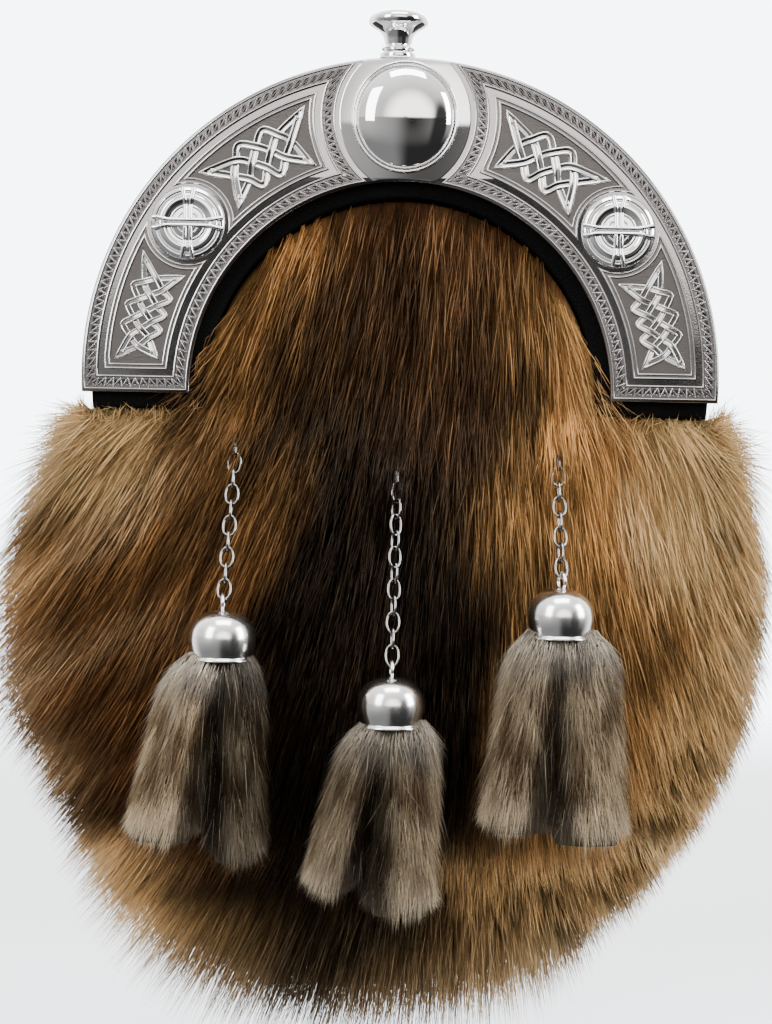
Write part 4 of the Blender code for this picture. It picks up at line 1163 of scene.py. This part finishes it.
beige_patches = (
    (0.85, 0.008, (-0.064, -0.014), (0.014, 0.013)),
    (1.00, 0.012, (0.072, -0.024), (0.020, 0.022)),
    (0.35, 0.000, (-0.058, -0.116), (0.018, 0.014)),
)
brighter_patches = (
    (-0.55, (-0.006, -0.098), (0.030, 0.022)),
    (1.30, (0.002, -0.136), (0.026, 0.009)),
    (1.90, (-0.058, -0.116), (0.016, 0.014)),
    (0.30, (-0.076, -0.045), (0.012, 0.014)),
    (-0.42, (0.024, -0.128), (0.024, 0.016)),
    (-0.28, (0.012, -0.052), (0.016, 0.014)),
    (-0.25, (-0.020, 0.000), (0.014, 0.016)),
    (-0.35, (0.004, 0.032), (0.014, 0.010)),
    (0.25, (-0.080, -0.044), (0.016, 0.014)),
    (0.22, (0.052, -0.040), (0.022, 0.034)),
    (0.35, (0.000, 0.034), (0.030, 0.008)),
    (0.50, (0.040, 0.006), (0.010, 0.016)),
)


def fur_colours(x, z):
    """The pelt's colour at places, before single hairs vary; part of its brightness is painted light and shade.
    """
    broad = blotches(x, z, 0.011, 3.1)
    patches = blotches(x, z, 0.0048, 7.7)
    locks = blotches(x, z, 0.0021, 5.3)
    wobble = broad * 0.55 + patches * 0.35
    every = np.ones((len(x), 1))
    centre_line = np.interp(z, [-0.130, -0.100, -0.053, 0.030], [-0.014, -0.004, -0.002, 0.006])
    stripe = np.interp(z, [-0.130, -0.100, -0.053, -0.020, 0.030], [0.027, 0.028, 0.026, 0.025, 0.023])
    off = np.abs(x - centre_line) / stripe + wobble * 0.9
    core = mixed(near_black * every, dark_brown, smooth((z + 0.028) / 0.050) * 0.85)
    left_flank = mixed(chestnut * every, golden, 0.32 * smooth((z + 0.050) / 0.035))
    left_flank = mixed(left_flank, russet, smooth((-0.045 - z) / 0.045))
    right_flank = mixed(golden * every, chestnut, 0.35 + 0.35 * smooth((-0.070 - z) / 0.040))
    colour = mixed(left_flank, right_flank, smooth((x + 0.010) / 0.040))
    colour = mixed(core, colour, smooth((off - 0.55) / 1.05))
    share = outline_share(x, z) + 0.25 * wobble
    right = smooth((x + 0.015) / 0.030)
    low_left = smooth((-0.045 - z) / 0.050) * (1 - smooth((x - 0.005) / 0.045))
    rim_z = [-0.130, -0.116, -0.104, -0.060, -0.042, -0.018]
    left_rim = np.interp(z, rim_z, [0.9, 0.9, 0.35, 0.15, 0.40, 0.85])
    low_middle = smooth((-0.100 - z) / 0.020) * smooth(1.4 - np.abs(x + 0.004) / 0.028)
    rim_share = (left_rim * (1 - right) + 0.80 * right) * (1 - 0.85 * low_middle)
    wider = 0.13 * np.maximum(right, smooth((-0.106 - z) / 0.012))
    rim = mixed(golden * every, beige, 0.20 + 0.45 * right)
    colour = mixed(colour, rim, rim_share * smooth((share - 0.84 + wider) / 0.16))
    colour = mixed(colour, cream, 0.45 * rim_share * smooth((share - 0.95) / 0.10))
    for share_here, drift, place, size in beige_patches:
        colour = mixed(colour, beige, share_here * near(x + drift * wobble, z, place, size))
    pale = smooth((broad - 0.10) / 0.25) * smooth((np.abs(x) - 0.036) / 0.02) * (1 - low_left)
    colour = mixed(colour, cream, 0.22 * pale)
    apron_side = smooth((0.012 + z) / 0.012) * smooth((outline_share(x, z + 0.004) - 0.50) / 0.25)
    colour = mixed(colour, beige, (0.30 + 0.45 * right) * apron_side)
    strength = np.exp(np.minimum(0.75 * broad + 0.85 * patches + 0.55 * locks, 0.40))
    # Darker at the lower left: partly the pelt's own colour and partly painted shade.
    strength *= 1 - 0.30 * low_left * (1 - smooth((share - 0.80) / 0.15))
    strength *= 1.12 + 0.20 * smooth((z + 0.008) / 0.024) + 0.65 * smooth((z - 0.026) / 0.010)
    # Brighter on the right: partly the pelt's own colour and partly painted light from the right; the patch
    # term lifts a pale patch.
    strength *= 1 + 0.60 * right + 0.75 * near(x, z, (-0.064, -0.014), (0.016, 0.014))
    strength *= 1 + 0.22 * right * smooth((z + 0.062) / 0.040)
    for more, place, size in brighter_patches:
        strength *= 1 + more * near(x, z, place, size)
    return colour * strength[:, None]


def coat_depth(rings, outline, front, hip, low, back):
    """How deep a coat is at each point of the skin's rings."""
    count = len(rings)
    down = smooth((hip_z - outline[:, 1]) / 0.070)
    full = hip + (low - hip) * down
    full = front + (full - front) * smooth((0.010 - outline[:, 1]) / 0.045)
    out = np.concatenate([smooth((np.linspace(0, 1, 22) - 0.66) / 0.30), np.ones(count - 22)])
    depth = front + (full[None, :] - front) * out[:, None]
    fade = np.linspace(0, 1, count - 21)[:, None]
    depth[21:] = depth[21:] * (1 - fade) + np.minimum(full, back)[None, :] * fade
    return depth


fur_outline = pouch_outline(20, 16, 40)
fur_skin = pouch_skin(fur_outline)
fur_normals = ring_normals(fur_skin)
under_depth = coat_depth(fur_skin, fur_outline, 0.0026, 0.0036, 0.0044, 0.0028)
under_rings = fur_skin + fur_normals * under_depth[:, :, None]
undercoat = shell_of_rings("undercoat", under_rings, fur_skin + fur_normals * 0.0003)

cutter_loop = arch_loop(0.110, 0.0452, arch_bottom_z - 0.0003, 96, 96)
cutter = flat_piece("arch_room", [cutter_loop], -0.060, 0.040, 0.0)
cut = undercoat.modifiers.new("arch_room", "BOOLEAN")
cut.object = cutter
cut.operation = "DIFFERENCE"
select_only(undercoat)
bpy.ops.object.modifier_apply(modifier="arch_room")
bpy.data.objects.remove(cutter)


def paint(piece, colours):
    """Stores a colour for each point of a mesh."""
    attribute = piece.data.color_attributes.new("hair_colour", "FLOAT_COLOR", "POINT")
    values = np.ones((len(piece.data.vertices), 4), np.float32)
    values[:, :3] = colours / np.maximum(colours.max(axis=1, keepdims=True) / 0.90, 1)
    attribute.data.foreach_set("color", values.ravel())


under_points = np.array([v.co for v in undercoat.data.vertices])
# The undercoat shell is painted at 0.40 of the pelt's colour: painted shade deep among the hair roots.
paint(undercoat, fur_colours(under_points[:, 0], under_points[:, 2]) * 0.40)

fur_under, tree, shader = new_material("fur_undercoat", (0.1, 0.07, 0.04), 0.95)
wire(shader.inputs["Specular IOR Level"], 0.05)
tone = add_node(tree, "VertexColor", layer_name="hair_colour").outputs["Color"]
spot = add_node(tree, "TexCoord").outputs["Object"]
drawn_out = add_node(tree, "Mapping", {"Vector": spot, "Scale": (1, 1, 0.12)}).outputs["Vector"]
tufts = add_node(tree, "TexNoise", {"Vector": drawn_out, "Scale": 1400, "Detail": 4}).outputs
# A streaky noise colour multiplied in darkens it further: more painted shade between the tufts.
painted_shade_streaks = {"Factor": 0.8, "A": tone, "B": tufts["Color"]}
painted_shade_streaks = add_node(tree, "Mix", painted_shade_streaks, data_type="RGBA", blend_type="MULTIPLY")
wire(shader.inputs["Base Color"], painted_shade_streaks.outputs["Result"])
raised(shader, tufts["Fac"], 1.0, 0.0006)
seat(undercoat, fur_under, "pelt", "fur_coat")


def hair_finish(name, roughness, gloss, tint=(1.0, 0.86, 0.68, 1)):
    """Fur, in the colour stored at each point."""
    material, tree, shader = new_material(name, (0.2, 0.13, 0.07), roughness)
    stored = add_node(tree, "VertexColor", layer_name="hair_colour")
    wire(shader.inputs["Base Color"], stored.outputs["Color"])
    wire(shader.inputs["Specular IOR Level"], gloss)
    wire(shader.inputs["Specular Tint"], tint)
    return material


soft_fibre = hair_finish("soft_fibre", 0.65, 0.05)
guard_fibre = hair_finish("guard_fibre", 0.38, 0.20)


def unit(vectors):
    return vectors / np.maximum(np.linalg.norm(vectors, axis=-1, keepdims=True), 1e-9)


def hair_piece(name, roots, middles, tips, radius, root_colour, middle_colour, tip_colour):
    """Many hairs as one mesh. A hair is a three-sided fibre that thins to its tip, straight where no
    middles are given and bent there otherwise."""
    count = len(roots)
    rings = [(roots, 1.0, root_colour)]
    if middles is not None:
        rings.append((middles, 0.85, middle_colour))
    along = unit((tips if middles is None else middles) - roots)
    across = unit(np.cross(along, random_hair.normal(size=(count, 3))))
    other = np.cross(along, across)
    corner_count = 3 * len(rings) + 1
    points = np.empty((count, corner_count, 3))
    colours = np.empty((count, corner_count, 3))
    pattern = [(2, 1, 0)]
    for level, (places, share, colour) in enumerate(rings):
        first = 3 * level
        for k in range(3):
            angle = 2 * math.pi * k / 3
            offset = across * math.cos(angle) + other * math.sin(angle)
            points[:, first + k] = places + offset * (radius * share)[:, None]
            colours[:, first + k] = colour
            this, following = first + k, first + (k + 1) % 3
            if level + 1 < len(rings):
                pattern.append((this, following, following + 3, this + 3))
            else:
                pattern.append((this, following, corner_count - 1))
    points[:, -1] = tips
    colours[:, -1] = tip_colour
    corners = np.array([index for face in pattern for index in face])
    starts = np.cumsum([0] + [len(face) for face in pattern[:-1]])
    each = np.arange(count)[:, None]
    mesh = bpy.data.meshes.new(name)
    mesh.vertices.add(count * corner_count)
    mesh.vertices.foreach_set("co", points.reshape(-1))
    mesh.loops.add(count * len(corners))
    mesh.loops.foreach_set("vertex_index", (corners[None, :] + corner_count * each).ravel())
    mesh.polygons.add(count * len(pattern))
    mesh.polygons.foreach_set("loop_start", (starts[None, :] + len(corners) * each).ravel())
    mesh.update(calc_edges=True)
    mesh.shade_smooth()
    piece = new_piece(name, mesh)
    paint(piece, colours.reshape(-1, 3))
    return piece


def scattered(points, triangles, weights, count):
    """Places spread evenly over triangles, more where the weight is greater, with the triangle of each."""
    a, b, c = (points[triangles[:, k]] for k in range(3))
    areas = np.linalg.norm(np.cross(b - a, c - a), axis=1)
    chance = areas * weights
    chosen = random_hair.choice(len(triangles), size=count, p=chance / chance.sum())
    u = np.sqrt(random_hair.random(count))[:, None]
    v = random_hair.random(count)[:, None]
    places = a[chosen] * (1 - u) + b[chosen] * (u * (1 - v)) + c[chosen] * (u * v)
    return places, chosen


rows, columns, _ = under_rings.shape
index = np.arange(rows * columns).reshape(rows, columns)
here, below = index[:-1], index[1:]
here_next, below_next = np.roll(here, -1, axis=1), np.roll(below, -1, axis=1)
halves = ((here, below, below_next), (here, below_next, here_next))
triangles = np.concatenate([np.stack(half_face, -1).reshape(-1, 3) for half_face in halves])
points = under_rings.reshape(-1, 3)
normals = fur_normals.reshape(-1, 3)
triangle_middle = points[triangles].mean(axis=1)
row_of = np.tile(np.repeat(np.arange(rows - 1), columns), 2)
weights = np.ones(len(triangles))
weights[triangle_middle[:, 1] > 0.004] = 0.6
weights[(row_of > 16) & (row_of < 23)] *= 1.4
weights[triangle_middle[:, 2] < -0.105] *= 1.3
weights[(triangle_middle[:, 2] > -0.0135) & (np.abs(triangle_middle[:, 0]) > 0.047)] *= 2.2
from_arch = np.hypot(triangle_middle[:, 0], triangle_middle[:, 2] + cantle_drop)
arch_room = np.where(triangle_middle[:, 2] < 0.012, 0.0460, 0.0448)
weights[(triangle_middle[:, 2] > arch_bottom_z - 0.0005) & (from_arch > arch_room)] = 0

clump_count = 2300
clump_roots, _ = scattered(points, triangles, weights, clump_count)
clump_tree = kdtree.KDTree(clump_count)
for i, place in enumerate(clump_roots):
    clump_tree.insert(place, i)
clump_tree.balance()
clump_tones = random_hair.normal(0, 0.26, clump_count)

reach_z = (-0.142, -0.125, -0.112, -0.100, -0.085, -0.070, -0.045, -0.020, 0.0)
left_shares = (1.44, 1.15, 0.80, 0.62, 0.70, 1.10, 1.08, 1.00, 0.75)
right_shares = (1.60, 0.50, 0.30, 0.34, 0.42, 0.54, 0.66, 0.85, 0.95)
hairs_over_post = 260
lowest_tips = (-0.1655, -0.1610)


def pelt_hair(name, material, count, lengths, lifts, pulls, thickness, guard):
    """One layer of the pelt's hair, as four pieces side by side."""
    roots, chosen = scattered(points, triangles, weights, count)
    facing = unit(normals[triangles].mean(axis=1))[chosen]
    x, z = roots[:, 0], roots[:, 2]
    lean = lay(x, z) + random_hair.normal(0, 0.09, count)
    shoulder = smooth((np.abs(x) - 0.066) / 0.010) * smooth((z + 0.024) / 0.012)
    lean += np.sign(x) * shoulder * random_hair.uniform(0, 1, count) ** 1.5 * np.where(x > 0, 2.7, 1.3)
    from_middle = np.hypot(x, z + cantle_drop)
    flare = smooth((from_middle - 0.037) / 0.008) * smooth((0.032 - z) / 0.026) * smooth((z + 0.016) / 0.010)
    lean += np.sign(x) * flare * random_hair.uniform(0.1, 0.5, count) * np.where(x > 0, 1.2, 1.35)
    inside = from_middle < 0.0465
    crest = (z > -0.0145) & (np.abs(x) > 0.047) & (random_hair.random(count) < 0.35)
    lean = np.where(crest, math.pi + random_hair.normal(0, 0.6, count), lean)
    flow = np.stack([np.sin(lean), np.zeros(count), -np.cos(lean)], axis=1)
    into = np.minimum((flow * facing).sum(axis=1), 0)
    run = unit(flow - facing * into[:, None])
    edge = smooth((outline_share(x, z) - 0.80) / 0.18)
    left_reach = np.interp(z, reach_z, left_shares)
    right_reach = np.interp(z, reach_z, right_shares)
    side = smooth((x + 0.012) / 0.024)
    reach = 1 + (left_reach * (1 - side) + right_reach * side - 1) * smooth((outline_share(x, z) - 0.62) / 0.25)
    lift = np.radians(random_hair.uniform(*lifts, count) + 9 * edge * random_hair.random(count))
    length = random_hair.uniform(*lengths, count) * reach
    hanging = np.clip((flow * facing).sum(axis=1), 0, 1)
    length *= 1 - 0.15 * hanging
    length *= 1 - 0.35 * smooth((z - 0.026) / 0.012)
    length = np.where(crest, length * 0.26, length * (1 - 0.60 * shoulder * np.minimum(np.abs(lean) / 2.2, 1)))
    lift = np.where(crest, lift + 0.25, lift)
    clump = np.array([clump_tree.find(place)[1] for place in roots])
    pull = random_hair.uniform(*pulls, count)[:, None]
    to_clump = clump_roots[clump] - roots
    to_clump -= run * (to_clump * run).sum(axis=1, keepdims=True)
    half = (length * 0.5)[:, None]
    middles = roots + (run * np.cos(lift)[:, None] + facing * np.sin(lift)[:, None]) * half
    middles += to_clump * pull * 0.45
    tips = middles + (unit(run + flow * 0.25) + facing * np.sin(lift * 0.35)[:, None]) * half
    tips += to_clump * pull * 0.5
    tips[:, 2] = np.maximum(tips[:, 2], random_hair.uniform(*lowest_tips, count))
    middles[:, 1] -= 0.0010 * flare
    tips[:, 1] -= 0.0014 * flare
    room = random_hair.uniform(0.0472, 0.0489, count)
    for places in (middles, tips):
        reached = np.hypot(places[:, 0], places[:, 2] + cantle_drop)
        back = np.where(inside & (places[:, 2] > leg_bottom_z), np.minimum(room / reached, 1), 1)
        places[:, 0] *= back
        places[:, 2] = (places[:, 2] + cantle_drop) * back - cantle_drop
    from_middle = np.hypot(tips[:, 0], tips[:, 2] + cantle_drop)
    under_leg = (tips[:, 2] > leg_bottom_z - 0.0020) & (from_middle > 0.0491) & (np.abs(tips[:, 0]) < 0.0735)
    keep = ~under_leg
    base = fur_colours(x, z) * np.exp(clump_tones[clump] + random_hair.normal(0, 0.16, count))[:, None]
    # Roots painted darker than the tips: painted shade where the hairs crowd near the skin.
    root_colour, tip_colour = base * 0.45, base * 1.1
    if guard:
        kind = random_hair.random(count)
        bright = (kind > 0.50)[:, None]
        dark = (kind < 0.36)[:, None]
        # Bright guard hairs take a straw colour that is partly their own and partly a painted highlight, in
        # place of gloss.
        straw_and_sheen = mixed(golden * np.ones((count, 1)), cream, 0.25 + 0.6 * edge)
        lightness = np.clip(base.max(axis=1) / golden.max(), 0.08, 1)[:, None]
        duller = np.where(dark, base * 0.38, base)
        base = np.where(bright, base * 0.9 + straw_and_sheen * (0.25 * lightness + 0.03), duller)
        # Guard hair roots painted darker too: painted shade near the skin.
        root_colour = base * 0.6
        pale_end = ((kind > 0.72) & (edge > 0.3))[:, None]
        tip_colour = np.where(pale_end, base * 0.6 + cream * 0.35, base)
    radius = random_hair.uniform(*thickness, count)
    order = np.argsort(x)
    order = order[keep[order]]
    for side_name, part in zip(("far_left", "left", "right", "far_right"), np.array_split(order, 4)):
        piece = hair_piece(
            f"{name}_{side_name}", roots[part], middles[part] if guard else None, tips[part], radius[part],
            root_colour[part], base[part], tip_colour[part],
        )
        seat(piece, material, "pelt")


pelt_hair(
    "pelt_soft", soft_fibre, count=80000, lengths=(0.008, 0.017), lifts=(3, 10), pulls=(0.30, 0.65),
    thickness=(0.00007, 0.00012), guard=False,
)
pelt_hair(
    "pelt_guard", guard_fibre, count=20000, lengths=(0.017, 0.025), lifts=(5, 12), pulls=(0.05, 0.30),
    thickness=(0.00008, 0.00012), guard=True,
)

roots, middles, tips = [], [], []
for side_name in ("left", "middle", "right"):
    post_low, post_high = (corner - arch_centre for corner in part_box(f"chain_post_{side_name}"))
    post_x = (post_low.x + post_high.x) / 2
    for i in range(hairs_over_post):
        x = post_x + random_hair.normal(0, 0.0024)
        z = post_high.z + 0.0120 * random_hair.random() ** 0.8
        length = random_hair.uniform(0.0080, 0.0205)
        lean = float(lay(np.array([x]), np.array([z]))[0]) + random_hair.normal(0, 0.10)
        belly = belly_depth(x, z)
        flush = leather_front_y - belly - random_hair.uniform(0.0036, 0.0050)
        over = flush + (post_low.y - 0.0008 - flush) * random_hair.uniform(0.45, 1.0)
        places = []
        for share in (0.45, 1.0):
            height = z - share * length * math.cos(lean)
            clear = min(max((height - post_high.z + 0.0010) / 0.0060, 0), 1)
            places.append((x + share * length * math.sin(lean), over + (flush - over) * clear, height))
        roots.append((x, leather_front_y - belly - 0.0026, z))
        middles.append(places[0])
        tips.append(places[1])
roots, middles, tips = np.array(roots), np.array(middles), np.array(tips)
tone_here = fur_colours(roots[:, 0], roots[:, 2]) * np.exp(random_hair.normal(-0.35, 0.35, len(roots)))[:, None]
lock = hair_piece(
    "pelt_over_posts", roots, middles, tips, np.full(len(roots), 0.00012), tone_here, tone_here, tone_here
)
seat(lock, guard_fibre, "pelt")

# ---------------------------------------------------------------------------------------------------
# Tassels. Two tufts of soft grey-brown fur are bound to one head and glued up into each cap. They part
# below the cap and hang free, fuller at the foot, with pale rounded ends.
tassel_rows = (
    ("left", ((-0.0532, -0.1100, 0.0088, 2.40), (-0.0355, -0.1145, 0.0069, 0.55))),
    ("middle", ((-0.0142, -0.1200, 0.0067, 1.15), (0.0022, -0.1255, 0.0088, 1.25))),
    ("right", ((0.0276, -0.1065, 0.0086, 1.65), (0.0448, -0.1090, 0.0100, 1.65))),
)
taupe = linear(162, 145, 119)
cool_grey = linear(150, 149, 145)
brown_streak = linear(90, 72, 52)
pale_tip = linear(214, 196, 168)
tuft_shares = (-0.06, 0.0, 0.03, 0.08, 0.20, 0.50, 0.80, 0.93, 1.0, 1.06)
tuft_widths = (0.55, 0.82, 0.98, 1.06, 1.06, 0.99, 1.02, 0.98, 0.84, 0.66)
tuft_half_depth = 0.0080


def tuft_place(head, tuft, share, angle, fullness):
    """Places on a tuft's surface, by how far down it they are and by their direction from its middle."""
    foot_x, foot_z, half_width = tuft[:3]
    width = np.interp(share, tuft_shares, tuft_widths) * fullness
    axis_x = head.x + (foot_x - head.x) * np.clip(share, 0, 2) ** 0.75
    axis_z = head.z + (foot_z - head.z) * share
    across = np.cos(angle) * width * half_width
    return np.stack([axis_x + across, head.y + np.sin(angle) * width * tuft_half_depth, axis_z], axis=1)


def tuft_heart(head, tuft):
    """The solid heart of a tuft: a ball drawn out to its shape, a little inside its surface."""
    bpy.ops.object.select_all(action="DESELECT")
    bpy.ops.mesh.primitive_uv_sphere_add(segments=24, ring_count=20, radius=1)
    heart = bpy.context.object
    ball = np.array([v.co for v in heart.data.vertices])
    pole = np.hypot(ball[:, 0], ball[:, 1]) < 1e-5
    shaped = tuft_place(
        head, tuft, 0.97 * (1 - ball[:, 2]) / 2, np.arctan2(ball[:, 1], ball[:, 0]), np.where(pole, 0.0, 0.78)
    )
    heart.data.vertices.foreach_set("co", shaped.ravel())
    heart.data.update()
    bpy.ops.object.shade_smooth()
    return heart


def tuft_hair(head, tuft, inward, count):
    """Hair for one tuft, which lies along its surface from the root down."""
    height = head.z - tuft[1]
    start = random_hair.uniform(-0.03, 0.86, count)
    angle = random_hair.uniform(0, 2 * math.pi, count)
    length = random_hair.uniform(0.0045, 0.0100, count) / height
    depth = random_hair.uniform(0.74, 0.90, count)
    twist = random_hair.normal(0, 0.14, count)
    stray = random_hair.random(count) < 0.02
    length = np.where(stray, length * 1.6, length)
    twist = np.where(stray, twist * 2.2, twist)
    rounded = 1.05 - 0.13 * np.cos(angle) ** 2
    end = np.minimum(start + length, random_hair.uniform(0.95, 1.03, count) * rounded)
    roots = tuft_place(head, tuft, start, angle, depth)
    reach = random_hair.uniform(0.08, 0.28, count) + 0.30 * stray
    tips = tuft_place(head, tuft, end, angle + twist, depth + reach)
    centres = random_hair.uniform(0, 2 * math.pi, 90)
    nearest = np.argmin(np.abs((angle[:, None] - centres[None, :] + math.pi) % (2 * math.pi) - math.pi), axis=1)
    drawn = tuft_place(head, tuft, end, centres[nearest], depth + 0.14)
    tips = tips * 0.60 + drawn * 0.40
    tips[:, 0] += random_hair.normal(0, 0.0006, count)
    streak = np.array([noise.noise(Vector(p / 0.0034)) for p in roots * np.array([1, 1, 0.35])])
    every = np.ones((count, 1))
    colour = mixed(taupe * every, brown_streak, smooth(0.45 + 1.6 * streak) * 0.95)
    colour = mixed(colour, cool_grey, (1 - smooth((start - 0.02) / 0.20)) * 0.45)
    colour = mixed(colour, pale_tip, 0.75 * smooth((end - 0.80) / 0.22))
    shaded = smooth((np.cos(angle) * inward - 0.05) / 0.5) * smooth((start - 0.02) / 0.15)
    colour *= tuft[3] * (1 - 0.85 * shaded)[:, None]
    colour *= np.exp(random_hair.normal(0, 0.22, count) + 0.14 * np.sin(nearest * 2.4))[:, None]
    colour = mixed(colour, pale_tip, 0.5 * stray)
    return roots, tips, colour


tuft_under = hair_finish("tuft_heart", 0.95, 0.05, (1, 1, 1, 1))
for side_name, tufts_row in tassel_rows:
    centre = cap_centre(side_name)
    hearts, hairs = [], []
    for tuft, sign in zip(tufts_row, (-1, 1)):
        head = centre + Vector((sign * 0.0024, 0, -0.0050))
        hearts.append(tuft_heart(head, tuft))
        hairs.append(tuft_hair(head, tuft, -sign, 9200))
    heart = joined(f"tassel_heart_{side_name}", hearts)
    # The heart is painted near black, an eighth of the tassel's colour: painted shade deep inside the tuft.
    paint(heart, np.tile(taupe * 0.12, (len(heart.data.vertices), 1)))
    seat(heart, tuft_under, "tassel_fur", f"tassel_{side_name}")
    roots, tips, colour = (np.concatenate(values) for values in zip(*hairs))
    radius = random_hair.uniform(0.00006, 0.00011, len(roots))
    # Tassel hair roots painted darker than the tips: painted shade inside the tuft.
    piece = hair_piece(
        f"tassel_hair_{side_name}", roots, None, tips, radius, colour * 0.70, None, colour * 1.10
    )
    seat(piece, soft_fibre, "tassel_fur")
